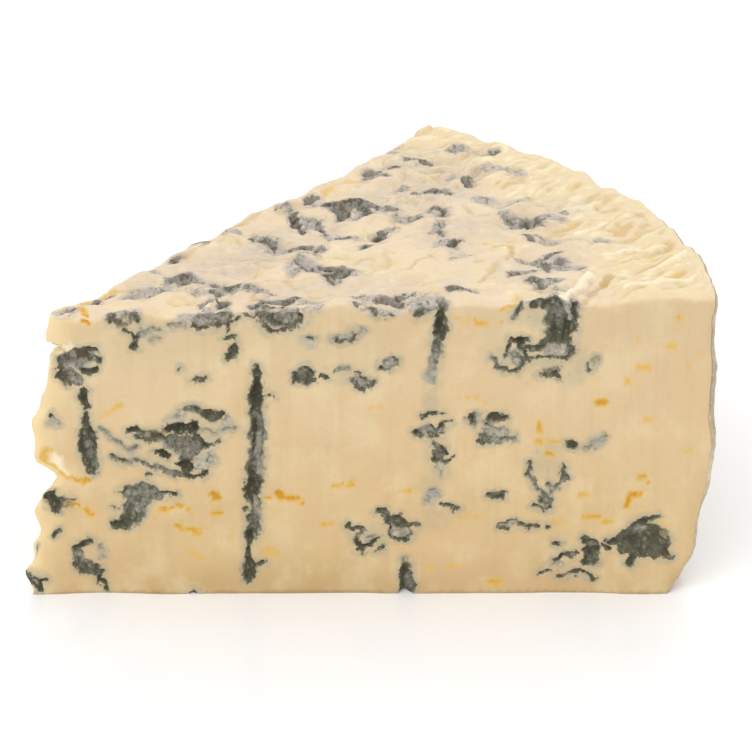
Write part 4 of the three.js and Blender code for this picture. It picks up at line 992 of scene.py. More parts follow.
def rind_radius(share, height):
    flat = RIND_FLATTENING * np.sin(np.pi * share)
    below = np.clip(1 - height / LOWER_EDGE["height"], 0, 1)
    rounding = LOWER_EDGE["reach"] * (1 - np.sqrt(1 - below**2))
    chip = sunk(CHIPPED_CORNER, height) * bump(share * WHEEL_RADIUS * WEDGE_ANGLE, CHIPPED_CORNER_WIDTH)
    return WHEEL_RADIUS - flat - sunk(RIND_TUCK, height) - rounding - chip


def tip_reach(height):
    reach = between(TIP_REACH_TOP, TIP_REACH_BOTTOM, 1 - height / TIP_HEIGHT)
    for swell in (TIP_LIP, TIP_BITE):
        reach = reach + swell["reach"] * bump(height - swell["height"], swell["spread"])
    return reach


def even_point(shares_on):
    u, v, w = shares_on.T
    tip_width = between(TIP_WIDTH_BOTTOM, TIP_WIDTH_TOP, w)
    radius = rind_radius(v, w * RIND_HEIGHT)
    x = between(TIP_SLANT * tip_width * v - tip_reach(w * TIP_HEIGHT), radius * np.cos(WEDGE_ANGLE * v), u)
    y = between(tip_width * v, radius * np.sin(WEDGE_ANGLE * v), u)
    return np.column_stack((x, y, w * top_height(x)))


def surface_point(shares_on):
    u, v, w = shares_on.T
    place = even_point(shares_on)
    width = np.linalg.norm(place, axis=1) * WEDGE_ANGLE
    outward = np.column_stack((np.cos(WEDGE_ANGLE * v), np.sin(WEDGE_ANGLE * v), 0 * v))
    pushes = [
        (-INWARD["front"], v * width, CUT_RELIEF, 1),
        (-INWARD["back"], (1 - v) * width, CUT_RELIEF, 2),
        (outward, (1 - u) * WHEEL_RADIUS, RIND_RELIEF, 3),
        (np.array((-1, 0, 0)), u * WHEEL_RADIUS, TIP_RELIEF, 4),
        (-INWARD["top"], (1 - w) * RIND_HEIGHT, TOP_RELIEF, 5),
        (-INWARD["top"], (1 - w) * RIND_HEIGHT, TOP_CRAGS, 6),
    ]
    relief = np.zeros_like(place)
    for direction, distance, (rise, size), seed in pushes:
        relief += (np.exp(-distance / RELIEF_DEPTH) * rise * ripple(place, size, seed))[:, None] * direction
    relief[w == 0, 2] = 0
    return place + relief


# Mould and ochre of the back cut, with the pockets of the solid and small marks round them
def narrowed(bends, share):
    return [(along, height, half * share) for along, height, half in bends]


def back_channels(draw):
    strokes = []
    for k in range(BACK_CHANNELS["count"]):
        along = BACK_CHANNELS["first"] + BACK_CHANNELS["spacing"] * k + draw((0, BACK_CHANNELS["drift"]))
        top = draw(BACK_CHANNELS["top"])
        foot = draw(BACK_CHANNELS["foot"])
        bends = []
        for share in shares(3):
            bend_along = along + draw(BACK_CHANNELS["sway"])
            bends.append((bend_along, between(top, foot, share), draw(BACK_CHANNELS["half_width"])))
        strokes.append(("dark", BACK_CHANNELS["depth"], *bends))
        strokes.append(("grey", BACK_CHANNELS["depth"], *narrowed(bends[1:], BACK_CHANNELS["core"])))
    return strokes


def back_pockets(draw):
    strokes = []
    for k in range(BACK_POCKETS["count"]):
        step = (k + draw((0, 1))) / BACK_POCKETS["count"]
        along = between(*BACK_POCKETS["along"], step)
        level = (k * BACK_POCKETS["height_step"] + draw(BACK_POCKETS["scatter"])) % 1
        height = between(*BACK_POCKETS["heights"], level)
        reach = draw(BACK_POCKETS["reach"])
        climb = reach * draw(BACK_POCKETS["slant"])
        half = draw(BACK_POCKETS["half_width"])
        depth = draw(BACK_POCKETS["depth"])
        bends = [
            (along - reach, height - climb, half * BACK_POCKETS["start"]),
            (along, height + draw(BACK_POCKETS["lift"]), half),
            (along + reach, height + climb, half * BACK_POCKETS["end"]),
        ]
        colour = BACK_POCKETS["colours"][k % len(BACK_POCKETS["colours"])]
        strokes.append(("dark", depth, *bends))
        strokes.append((colour, depth, *narrowed(bends, BACK_POCKETS["core"])))
    return strokes


def back_marks(draw):
    strokes = []
    for k in range(BACK_MARKS["count"]):
        along = draw(BACK_MARKS["along"])
        height = draw(BACK_MARKS["height"])
        half = draw(BACK_MARKS["half_width"])
        run = draw(BACK_MARKS["run"])
        turn = draw(BACK_MARKS["slant"])
        bends = [
            (along, height, half * BACK_MARKS["start"]),
            (along + run / 2, height + run * turn, half),
            (along + run, height + draw(BACK_MARKS["lift"]), half * BACK_MARKS["end"]),
        ]
        colour = BACK_MARKS["colours"][k % len(BACK_MARKS["colours"])]
        strokes.append((colour, BACK_MARKS["depth"], *bends))
    return strokes


def back_ochre():
    draw = make_draw(BACK_SEED + 1)
    streaks = []
    for _ in range(BACK_STREAKS["count"]):
        along = draw(BACK_STREAKS["along"])
        height = draw(BACK_STREAKS["height"])
        run = draw(BACK_STREAKS["run"])
        half = draw(BACK_STREAKS["half_width"])
        strength = draw(BACK_STREAKS["strength"])
        end = (along + run, height + draw(BACK_STREAKS["lift"]), half)
        streaks.append((strength, (along, height, half), end))
    return streaks


def back_bloom(strokes):
    reach = BACK_BLOOM["reach"]
    bloom = []
    for _kind, _depth, *bends in strokes:
        wider = [(along, height, half + reach) for along, height, half in bends]
        bloom.append((BACK_BLOOM["strength"], *wider))
    return bloom


# The start surface: each face of the wedge as rows of places, joined like the solid's
def shares(count):
    return np.linspace(0, 1, count + 1)


def across(u):
    return shares(max(2, round(RIND_STEPS * u)))


def start_sheets():
    lengths = shares(LENGTH_STEPS)
    heights = shares(HEIGHT_STEPS) ** HEIGHT_CROWDING
    return dict(
        front=([[(u, 0, w) for u in lengths] for w in heights], True),
        back=([[(u, 1, w) for u in lengths] for w in heights], False),
        tip=([[(0, v, w) for v in across(0)] for w in heights], False),
        rind=([[(1, v, w) for v in across(1)] for w in heights], True),
        top=([[(u, v, 1) for v in across(u)] for u in lengths], False),
        bottom=([[(u, v, 0) for v in across(u)] for u in lengths], True),
    )


def join_rows(near, far, flip):
    triangles = []
    a = 0
    b = 0
    while a < len(near) - 1 or b < len(far) - 1:
        near_left = a < len(near) - 1
        far_left = b < len(far) - 1
        step_near = not far_left or (near_left and (a + 1) / (len(near) - 1) <= (b + 1) / (len(far) - 1))
        third = near[a + 1] if step_near else far[b + 1]
        corners = [near[a], far[b], third]
        triangles.append(corners[::-1] if flip else corners)
        if step_near:
            a += 1
        else:
            b += 1
    return triangles


def start_surface():
    numbers = {}
    faces = []
    sheet_of = []
    for sheet, (rows, flip) in start_sheets().items():
        for near, far in zip(rows, rows[1:]):
            for corners in join_rows(near, far, flip):
                keys = [tuple(round(float(share), 7) for share in corner) for corner in corners]
                faces.append([numbers.setdefault(key, len(numbers)) for key in keys])
                sheet_of.append(SHEETS.index(sheet))
    return np.array(list(numbers)), np.array(faces), np.array(sheet_of)


def face_places(shares_on):
    """Where each place lies on each face with pockets, and how far under it."""
    u, v, w = shares_on.T
    even = even_point(shares_on)
    x, y, z = even.T
    on_back = even_point(np.column_stack((u, 0 * v + 1, w)))
    return dict(
        front=(np.column_stack((x, z)), y),
        top=(np.column_stack((x, y)), top_height(x) - z),
        back=(np.column_stack((u * WHEEL_RADIUS, z)), np.linalg.norm(even - on_back, axis=1)),
    )


# Strokes: lines of places with a half width at each
def near_stroke(places, bends, margin):
    ends = np.array(bends)
    widest = ends[:, 2].max() + margin
    low = ends[:, :2].min(axis=0) - widest
    high = ends[:, :2].max(axis=0) + widest
    return np.flatnonzero(((places > low) & (places < high)).all(axis=1))


def stroke_gaps(places, bends):
    """Distance of each place from the stroke's middle line and the half width there, at the widest fit."""
    best_gap = np.full(len(places), 1e3)
    best_half = np.ones(len(places))
    for first, last in zip(bends, bends[1:]):
        start = np.array(first[:2])
        run = np.array(last[:2]) - start
        along = np.clip((places - start) @ run / max(run @ run, 1e-9), 0, 1)
        gap = np.linalg.norm(places - start - along[:, None] * run, axis=1)
        half = between(first[2], last[2], along)
        better = half - gap > best_half - best_gap
        best_gap[better] = gap[better]
        best_half[better] = half[better]
    return best_gap, best_half


def mould_coverage(places, under, table):
    """How far each place lies inside the nearest mould, in mm, and minus FAR where there is none near."""
    inside = np.full(len(places), -FAR)
    for group in table.values():
        for _kind, _depth, *bends in group:
            near = near_stroke(places, bends, FAR)
            gap, half = stroke_gaps(places[near], bends)
            inside[near] = np.maximum(inside[near], half - np.hypot(gap, UNDER_STRETCH * under[near]))
    return inside


# Division into fine triangles, with the finest in the mould
def edge_distances(shares_on):
    """Distance of each place from each face of the wedge, in the order of SHEETS."""
    u, v, w = shares_on.T
    x, y, z = even_point(shares_on).T
    width = np.hypot(x, y) * WEDGE_ANGLE
    length = u * WHEEL_RADIUS
    from_rind = WHEEL_RADIUS - length
    return np.column_stack((v * width, (1 - v) * width, length, from_rind, top_height(x) - z, z))


def mould_target(coverage, face):
    return MOULD_EDGE_LENGTH[face] + EDGE_GROWTH * np.maximum(0, -coverage - MOULD_MARGIN)


def target_edges(shares_on):
    u, v, w = shares_on.T
    on_sheet = np.column_stack((v == 0, v == 1, u == 0, u == 1, w == 1, w == 0))
    distances = edge_distances(shares_on)
    visible = [SHEETS.index(sheet) for sheet in ("front", "tip", "top")]
    nearest_rim = np.sort(distances[:, visible], axis=1)[:, 1]
    by_sheet = np.array([EDGE_LENGTH[sheet] for sheet in SHEETS])
    target = np.where(on_sheet, by_sheet, by_sheet.max()).min(axis=1)
    folded = (w == 1) & (u * WHEEL_RADIUS > FOLD_START)
    target = np.where(folded, FOLD_EDGE_LENGTH, target)
    rim = RIM_EDGE_LENGTH + EDGE_GROWTH * np.maximum(0, nearest_rim - RIM_WIDTH)
    target = np.where(on_sheet[:, visible].any(axis=1), np.minimum(target, rim), target)
    places_on = face_places(shares_on)
    for face, (places, under) in places_on.items():
        target = np.minimum(target, mould_target(mould_coverage(places, under, MOULD[face]), face))
    return np.minimum(target, mould_target(mould_coverage(*places_on["top"], RAISED), "top"))


def divide_once(shares_on, faces, sheet_of, target):
    """Halves the edges that are too long, and the longest edge of each triangle that has one."""
    count = len(shares_on)
    sides = np.sort(faces[:, [[0, 1], [1, 2], [2, 0]]], axis=2)
    codes, side_index = np.unique(sides[..., 0] * count + sides[..., 1], return_inverse=True)
    side_index = side_index.reshape(-1, 3)
    first = codes // count
    last = codes % count
    points = surface_point(shares_on)
    lengths = np.linalg.norm(points[first] - points[last], axis=1)
    halved = lengths > np.minimum(target[first], target[last])
    if not halved.any():
        return None
    rows = np.arange(len(faces))
    longest = lengths[side_index].argmax(axis=1)
    longest_side = side_index[rows, longest]
    while True:
        more = halved[side_index].any(axis=1) & ~halved[longest_side]
        if not more.any():
            break
        halved[longest_side[more]] = True
    middle = np.full(len(codes), -1)
    middle[halved] = count + np.arange(halved.sum())
    added = (shares_on[first[halved]] + shares_on[last[halved]]) / 2

    # Each triangle is turned so that its longest side is a to b; m, n and p are its sides' middles
    turned = (longest[:, None] + np.arange(3)) % 3
    a, b, c = np.take_along_axis(faces, turned, axis=1).T
    m, n, p = middle[np.take_along_axis(side_index, turned, axis=1)].T
    has_n = n >= 0
    has_p = p >= 0
    patterns = [
        (m < 0, [(a, b, c)]),
        ((m >= 0) & ~has_n & ~has_p, [(a, m, c), (m, b, c)]),
        ((m >= 0) & has_n & ~has_p, [(a, m, c), (m, b, n), (m, n, c)]),
        ((m >= 0) & ~has_n & has_p, [(m, b, c), (a, m, p), (m, c, p)]),
        ((m >= 0) & has_n & has_p, [(a, m, p), (m, b, n), (m, n, c), (m, c, p)]),
    ]
    new_faces = []
    new_sheets = []
    for chosen, triangles in patterns:
        for corners in triangles:
            new_faces.append(np.column_stack(corners)[chosen])
            new_sheets.append(sheet_of[chosen])
    return added, np.concatenate(new_faces), np.concatenate(new_sheets)


def fine_surface():
    shares_on, faces, sheet_of = start_surface()
    target = target_edges(shares_on)
    for _ in range(REFINING_ROUNDS):
        divided = divide_once(shares_on, faces, sheet_of, target)
        if divided is None:
            break
        added, faces, sheet_of = divided
        shares_on = np.concatenate((shares_on, added))
        target = np.concatenate((target, target_edges(added)))
    return shares_on, faces, sheet_of


def soften_rims(points, faces, shares_on):
    """Rounds the rims between faces by moving each place there towards the middle of its neighbours."""
    sides = np.sort(np.concatenate((faces[:, :2], faces[:, 1:], faces[:, ::2])), axis=1)
    sides = np.unique(sides, axis=0)
    first, last = np.concatenate((sides, sides[:, ::-1])).T
    number = len(points)
    count = np.bincount(first, minlength=number)
    distances = edge_distances(shares_on)
    from_floor = distances[:, SHEETS.index("bottom")]
    from_rim = np.sort(distances[:, : SHEETS.index("bottom")], axis=1)[:, 1]
    amount = RIM_ROUNDING["pull"] * smooth(RIM_ROUNDING["reach"] - from_rim / RIM_ROUNDING["width"])
    amount *= smooth(from_floor / (2 * RIM_ROUNDING["floor_width"]))
    for _ in range(RIM_ROUNDING["rounds"]):
        middle = [np.bincount(first, weights=points[last, axis], minlength=number) for axis in range(3)]
        points = points + amount[:, None] * (np.column_stack(middle) / count[:, None] - points)
    return points


# Relief finer than the solid's
def grain(places, size, seed):
    shift = Vector(GRAIN_SHIFT) * seed
    return np.array([noise.noise(Vector(place) + shift) for place in places / size])


def layered_grain(places, layers, seed=0):
    return sum(rise * grain(places, size, layer_seed + seed) for rise, size, layer_seed in layers)


def lumps(places):
    """Rounded lumps of the mould, above 0 in their middles and below it in the gaps between them."""
    cells = np.zeros(len(places))
    for number, place in enumerate(places / LUMPS["size"]):
        nearest, second = noise.voronoi(Vector(place))[0][:2]
        cells[number] = min(1, LUMPS["roundness"] * (second - nearest))
    rough = LUMPS["grain_rise"] * grain(places, LUMPS["grain_size"], LUMPS["seed"])
    return LUMPS["rise"] * (cells - LUMPS["level"]) + rough


def torn_relief(places):
    """Lumps, tears and crumbs of the torn top, in mm."""
    gap = np.abs(grain(places, TEARS["size"], TEARS["seed"])) / TEARS["width"]
    patch = grain(places, TEAR_PATCHES["size"], TEAR_PATCHES["seed"])
    torn = smooth(patch * TEAR_PATCHES["slope"] + TEAR_PATCHES["start"])
    return layered_grain(places, TORN_GRAIN) - TEARS["depth"] * np.maximum(0, 1 - gap) * torn


def fold_relief(places):
    """Stretched folds of the torn top, in mm."""
    turn = FOLDS["turn"]
    along = places @ (math.cos(turn), math.sin(turn), 0)
    over = places @ (-math.sin(turn), math.cos(turn), 0)
    bent = over + FOLDS["bend"] * grain(places, FOLDS["bend_size"], FOLDS["bend_seed"])
    stretched = np.column_stack((along / FOLDS["length"], bent, places[:, 2]))
    rough = grain(stretched, FOLDS["size"], FOLDS["seed"])
    return FOLDS["height"] * (FOLDS["level"] - np.abs(rough) * FOLDS["slope"])


def hollow_profile(gap, half):
    """Share of a pocket's depth: it starts inside the mould's edge, so that its walls are mould too."""
    return np.clip(1 - (gap / (HOLLOW_SHARE * half)) ** 2, 0, 1) ** HOLLOW_ROUNDING


def linear(colour):
    return [((channel + 0.055) / 1.055) ** 2.4 for channel in colour]


def pigment_and_cave_shade_of(kind):
    """The kind's colour for the renderer, painted cave shade for the darkest kinds, with the softness of
    its edge.
    """
    *colour, softness = PIGMENTS_AND_CAVE_SHADE[kind]
    return np.array((*linear(colour), softness))


def paint(places, under, table):
    """Colours of the mould on one face with its painted cave shade, how far each place lies inside it, and
    the depth of its pockets.
    """
    count = len(places)
    pigment_and_cave_shade = np.zeros((count, 4))
    weight = np.zeros(count)
    mould = np.full(count, -FAR)
    depth = np.zeros(count)
    for group in table.values():
        for kind, deep, *bends in group:
            near = near_stroke(places, bends, 1)
            gap, half = stroke_gaps(places[near], bends)
            deepest = np.minimum(deep, STEEPEST * half)
            depth[near] = np.maximum(depth[near], deepest * hollow_profile(gap, half))
            inside = half - np.hypot(gap, UNDER_STRETCH * under[near])
            mould[near] = np.maximum(mould[near], inside)
            cover = smooth((inside + PAINT_EDGE["margin"]) / PAINT_EDGE["run"])
            pigment_and_cave_shade[near] = between(pigment_and_cave_shade[near], pigment_and_cave_shade_of(kind), cover[:, None])
            weight[near] = between(weight[near], 1, cover)
    painted = weight > 1e-4
    pigment_and_cave_shade[painted] /= weight[painted, None]
    pigment_and_cave_shade[~painted] = pigment_and_cave_shade_of("clear")
    return pigment_and_cave_shade, mould, depth


def bloom_strokes(places, under, table):
    """Strength of the table's wide, soft strokes at each place."""
    strongest = np.zeros(len(places))
    for strength, *bends in table:
        near = near_stroke(places, bends, 0)
        gap, half = stroke_gaps(places[near], bends)
        inside = 1 - np.hypot(gap, UNDER_STRETCH * under[near]) / half
        strongest[near] = np.maximum(strongest[near], strength * smooth(inside * BLOOM_SLOPE))
    return strongest


def thin_strokes(places, under, table):
    """Strength of the table's thin strokes at each place, with a soft edge."""
    strongest = np.zeros(len(places))
    for strength, *bends in table:
        near = near_stroke(places, bends, 1)
        gap, half = stroke_gaps(places[near], bends)
        inside = half - np.hypot(gap, UNDER_STRETCH * under[near])
        cover = smooth((inside + THIN_EDGE["margin"]) / THIN_EDGE["run"])
        strongest[near] = np.maximum(strongest[near], strength * cover)
    return strongest


# What grows on each face with pockets
BACK_DRAW = make_draw(BACK_SEED)
BACK_MOULD = dict(
    channels=back_channels(BACK_DRAW),
    pockets=back_pockets(BACK_DRAW),
    marks=back_marks(BACK_DRAW),
)
MOULD = dict(front=FRONT_MOULD, top=TOP_MOULD, back=BACK_MOULD)
BLOOM = dict(front=FRONT_BLOOM, top=TOP_BLOOM, back=back_bloom(BACK_MOULD["pockets"]))
OCHRE = dict(front=FRONT_OCHRE, top=TOP_OCHRE, back=back_ochre())
FLAKES_AND_HIGHLIGHTS = dict(front=FRONT_FLAKES_AND_HIGHLIGHTS, top=TOP_FLAKES_AND_HIGHLIGHTS, back=[])


def push(points, amount, direction):
    """Moves each point by its own amount along the direction."""
    points += amount[:, None] * direction


def cheese_surface():
    """The fine surface with its pockets and relief, and what the material needs to know at each place."""
    shares_on, faces, sheet_of = fine_surface()
    even = even_point(shares_on)
    from_front, from_back, from_tip, from_rind, from_top, from_floor = edge_distances(shares_on).T
    points = soften_rims(surface_point(shares_on), faces, shares_on)

    # Grain of the faces, calmer by the rims of the top
    near_rind = smooth((np.hypot(even[:, 0], even[:, 1]) - FOLDS["start"]) / FOLDS["run"])
    near_top = np.exp(-from_top / TOP_FADE)
    inland = smooth(np.minimum(from_front, from_rind) / CALM_RIM["width"])
    torn = torn_relief(even) * between(CALM_RIM["torn"], 1, inland)
    folds = fold_relief(even) * near_rind * between(CALM_RIM["folds"], 1, inland)
    push(points, near_top * (torn + folds), -INWARD["top"])
    cut = layered_grain(even, CUT_GRAIN)
    push(points, np.exp(-from_front) * cut, -INWARD["front"])
    push(points, np.exp(-from_back) * cut, -INWARD["back"])
    outward = even * (1, 1, 0) / np.hypot(even[:, 0], even[:, 1])[:, None]
    bark = layered_grain(even, RIND_GRAIN)
    push(points, np.exp(-from_rind) * bark * smooth(from_floor / RIND_FOOT), outward)

    # Pockets and colours of each face, where the nearest mould counts most
    warp = np.column_stack([layered_grain(even, STROKE_BENDS, seed) for seed in STROKE_SEEDS])
    pigment_and_cave_shade = np.zeros((len(even), 4))
    total = np.zeros(len(even))
    facts = dict(mould=np.full(len(even), -FAR), bloom=0, ochre=0, flakes_and_highlights=0)
    for face, (places, under) in face_places(shares_on).items():
        bent = places + warp
        painted, mould, depth = paint(bent, under, MOULD[face])
        ochre = thin_strokes(bent, under, OCHRE[face])
        share = np.clip(mould + FAR, 1e-3, None) ** NEARNESS_POWER
        pigment_and_cave_shade += share[:, None] * painted
        total += share
        facts["mould"] = np.maximum(facts["mould"], mould)
        facts["bloom"] = np.maximum(facts["bloom"], bloom_strokes(bent, under, BLOOM[face]))
        facts["ochre"] = np.maximum(facts["ochre"], ochre)
        facts["flakes_and_highlights"] = np.maximum(facts["flakes_and_highlights"], thin_strokes(bent, under, FLAKES_AND_HIGHLIGHTS[face]))
        fade = np.clip(1 - under / POCKET_REACH, 0, 1) ** 2
        push(points, np.maximum(depth, THIN_DEPTH * ochre) * fade, INWARD[face])
        if face == "top":
            facts["crease"] = thin_strokes(bent, under, TOP_CREASES)
            push(points, THIN_DEPTH * facts["crease"], INWARD[face])
            for rise, *bends in TOP_RIDGES.values():
                gap, half = stroke_gaps(places, bends)
                push(points, rise * np.clip(1 - (gap / half) ** 2, 0, 1) * fade, -INWARD[face])
    slit = np.abs(even[:, 2] - TIP_SLIT["height"] + SLIT_WAVER * warp[:, 0]) / TIP_SLIT["half"]
    near_tip = np.clip(1 - from_tip / SLIT_REACH, 0, 1)
    points[:, 0] += TIP_SLIT["depth"] * np.sqrt(np.clip(1 - slit**2, 0, 1)) * near_tip**2

    facts["lump"] = lumps(points)
    in_mould = smooth(facts["mould"] / LUMPS["margin"])
    bulge = LUMPS["height"] * facts["lump"] * in_mould * smooth(from_floor)
    for face, under in (("front", from_front), ("back", from_back), ("top", from_top)):
        push(points, bulge * np.exp(-under), -INWARD[face])
    points[:, 2] = np.maximum(points[:, 2], 0)

    facts["from_top"] = from_top
    below = UNDERSIDE_SLOPE * from_floor + np.exp(-np.minimum(from_front, from_back))
    facts["from_rind"] = np.minimum(from_rind, below)
    # Nearness to the tip, which the material turns into a painted glow of light through the thin tip
    facts["tip"] = smooth(near_tip)
    # The top's relief, which the material turns into painted shade in its hollows and painted light on its
    # crests
    facts["fold"] = near_top * (torn + FOLDS["tone"] * folds)
    facts["outer"] = near_rind
    return shares_on, faces, sheet_of, points, pigment_and_cave_shade / total[:, None], facts


def chart_places(sheet, shares_on):
    u, v, w = shares_on.T
    x, y, z = even_point(shares_on).T
    flat = dict(
        front=(x + CHART_TIP_ROOM, z),
        top=(x + CHART_TIP_ROOM, y),
        back=(u * WHEEL_RADIUS, z),
        rind=(v * WHEEL_RADIUS * WEDGE_ANGLE, z),
        tip=(y, z),
        bottom=(x + CHART_TIP_ROOM, y),
    )[sheet]
    start_across, start_up, scale, turned = CHARTS[sheet]
    side, up = flat[::-1] if turned else flat
    return np.column_stack((start_across + scale * side, start_up + scale * up)) / CHART_SIZE


def make_mesh():
    """The cheese's mesh in the frame, and the place in the wheel that is the frame's origin."""
    shares_on, faces, sheet_of, points, pigment_and_cave_shade, facts = cheese_surface()
    start = surface_point(start_surface()[0])
    middle = (start.min(axis=0) + start.max(axis=0)) / 2
    middle[2] = 0
    mesh = bpy.data.meshes.new("cheese")
    mesh.from_pydata((points - middle) * MM, [], faces)
    mesh.polygons.foreach_set("use_smooth", np.ones(len(faces), dtype=bool))
    texture_places = mesh.uv_layers.new(name="OFBake")
    places = np.zeros((len(faces), 3, 2))
    for number, sheet in enumerate(SHEETS):
        chosen = sheet_of == number
        places[chosen] = chart_places(sheet, shares_on[faces[chosen]].reshape(-1, 3)).reshape(-1, 3, 2)
    texture_places.data.foreach_set("uv", places.ravel())
    colours = mesh.attributes.new("pigment_and_cave_shade", "FLOAT_COLOR", "POINT")
    colours.data.foreach_set("color", pigment_and_cave_shade.ravel())
    for name, values in facts.items():
        mesh.attributes.new(name, "FLOAT", "POINT").data.foreach_set("value", values.astype(np.float32))
    mesh.update()
    return mesh, middle


def shade(red, green, blue):
    return (*linear((red / 255, green / 255, blue / 255)), 1)


class Shader:
    """Adds nodes to a new material. An input that is a socket is linked, and any other is set."""

    def __init__(self, name):
        self.material = bpy.data.materials.new(name)
        self.material.use_nodes = True
        self.nodes = self.material.node_tree.nodes
        self.nodes.clear()
        self.place = self.add("ShaderNodeTexCoord").outputs["Object"]

    def add(self, kind, inputs=None, **settings):
        node = self.nodes.new(kind)
        for name, value in settings.items():
            setattr(node, name, value)
        for name, value in (inputs or {}).items():
            if isinstance(value, bpy.types.NodeSocket):
                self.material.node_tree.links.new(value, node.inputs[name])
            else:
                node.inputs[name].default_value = value
        return node

    def noise(self, size, detail=3, roughness=0.55, stretch=(1, 1, 1)):
        """Noise from 0 to 1 with spots of about that size in millimetres."""
        place = self.add("ShaderNodeMapping", {"Vector": self.place, "Scale": stretch}).outputs[0]
        inputs = {"Vector": place, "Scale": 1 / (size * MM), "Detail": detail, "Roughness": roughness}
        return self.add("ShaderNodeTexNoise", inputs).outputs["Fac"]

    def cells(self, size):
        """Rounded cells of about that size in millimetres: 0 along their edges, near 0.5 in the middle."""
        scale = 1 / (size * MM)
        inputs = {"Vector": self.place, "Scale": scale, "Detail": 2}
        bend = self.add("ShaderNodeTexNoise", inputs).outputs["Color"]
        inputs = {0: self.place, 1: (scale, scale, scale), 2: bend}
        place = self.add("ShaderNodeVectorMath", inputs, operation="MULTIPLY_ADD").outputs[0]
        inputs = {"Vector": place, "Scale": 1}
        return self.add("ShaderNodeTexVoronoi", inputs, feature="DISTANCE_TO_EDGE").outputs["Distance"]

    def fact(self, name, output="Fac"):
        return self.add("ShaderNodeAttribute", attribute_name=name).outputs[output]

    def span(self, value, low, high, start=0.0, end=1.0):
        """Value eased from start at low to end at high."""
        inputs = {0: value, 1: low, 2: high, 3: start, 4: end}
        return self.add("ShaderNodeMapRange", inputs, interpolation_type="SMOOTHSTEP").outputs[0]

    def spots(self, noise_value, low, high, strength=1.0):
        """Spots of that strength where the noise is over high, and none where it is under low."""
        return self.span(noise_value, low, high, 0, strength)

    def math(self, operation, first, second):
        return self.add("ShaderNodeMath", {0: first, 1: second}, operation=operation).outputs[0]

    def times(self, first, second):
        return self.math("MULTIPLY", first, second)

    def plus(self, first, second):
        return self.math("ADD", first, second)

    def blend(self, share, first, last):
        inputs = {0: share, 6: first, 7: last}
        return self.add("ShaderNodeMix", inputs, data_type="RGBA").outputs[2]

    def over(self, colour, share, *tone):
        """The colour with that share of a tone of red, green and blue from 0 to 255 over it."""
        return self.blend(share, colour, shade(*tone))

    def finish(self, inputs):
        surface = self.add("ShaderNodeBsdfPrincipled", inputs).outputs[0]
        self.add("ShaderNodeOutputMaterial", {"Surface": surface})
        return self.material


def cut_paste(s, height):
    """Paste of the cut faces: warmer and darker by the floor, with faint streaks from the wire."""
    colour = s.over(shade(194, 164, 112), s.span(height, 0, 9 * MM), 212, 184, 135)
    colour = s.over(colour, s.span(height, 8 * MM, 40 * MM), 216, 191, 150)
    colour = s.over(colour, s.span(height, 34 * MM, 43 * MM, 0, 0.6), 204, 183, 146)
    colour = s.over(colour, s.spots(s.noise(16, 2), 0.4, 0.68, 0.55), 214, 183, 138)
    colour = s.over(colour, s.spots(s.noise(6, 3), 0.45, 0.7, 0.45), 224, 205, 163)
    streaks = s.noise(1.6, 3, 0.6, stretch=(1, 1, 0.06))
    return s.over(colour, s.spots(streaks, 0.45, 0.75, 0.25), 198, 169, 121)


def torn_paste(s):
    """Paste of the torn top: pale and pinkish, yellow by the rind, with tan painted shade in creases and
    hollows and painted light on fold crests.
    """
    fold = s.fact("fold")
    colour = s.over(shade(222, 202, 166), s.spots(s.noise(9, 3), 0.38, 0.66), 219, 197, 167)
    colour = s.over(colour, s.spots(s.noise(4, 3), 0.5, 0.68, 0.6), 226, 206, 166)
    colour = s.over(colour, s.spots(s.noise(6, 4, 0.6), 0.5, 0.68, 0.3), 210, 194, 178)
    colour = s.over(colour, s.times(s.fact("outer"), 0.7), 224, 204, 162)
    # Painted shade in the hollows of the relief and painted light on its crests
    colour = s.over(colour, s.span(fold, -0.04, -0.3, 0, 0.8), 208, 180, 130)
    colour = s.over(colour, s.span(fold, 0.08, 0.3, 0, 0.8), 236, 221, 180)
    # Painted shade in the fine creases
    return s.over(colour, s.times(s.fact("crease"), 0.75), 176, 146, 92)


def marked_paste(s, paste, torn):
    """The paste with its halos, bloom, specks, ochre, pale flakes and painted highlights."""
    halo = s.times(s.span(s.fact("mould"), -1.4, -0.05), s.span(torn, 0, 1, 0.7, 0.6))
    bloom = s.math("MAXIMUM", s.times(s.fact("bloom"), s.span(torn, 0, 1, 0.75, 1)), halo)
    clouds = s.span(s.noise(2.2, 3, 0.6), 0.28, 0.62, 0.35, 1.15)
    veil = s.blend(torn, shade(172, 165, 138), shade(172, 161, 154))
    paste = s.blend(s.times(bloom, clouds), paste, veil)
    specks = s.times(s.spots(s.noise(0.9, 2), 0.62, 0.7), s.span(bloom, 0.25, 0.5, 0, 0.35))
    flecks = s.times(s.spots(s.noise(1.6, 4, 0.7), 0.53, 0.6), s.span(bloom, 0.2, 0.6, 0, 0.75))
    paste = s.over(paste, s.math("MAXIMUM", specks, s.times(flecks, torn)), 128, 120, 108)
    ochre = s.times(s.fact("ochre"), s.span(s.noise(0.7, 4, 0.6), 0.28, 0.5, 0.45, 1))
    paste = s.over(paste, s.span(ochre, 0.02, 0.42, 0, 0.75), 222, 178, 74)
    paste = s.over(paste, s.span(ochre, 0.25, 0.85), 203, 146, 6)
    # Pale flakes, and painted highlights on crests and broken facets
    return s.over(paste, s.times(s.fact("flakes_and_highlights"), 0.8), 243, 232, 206)


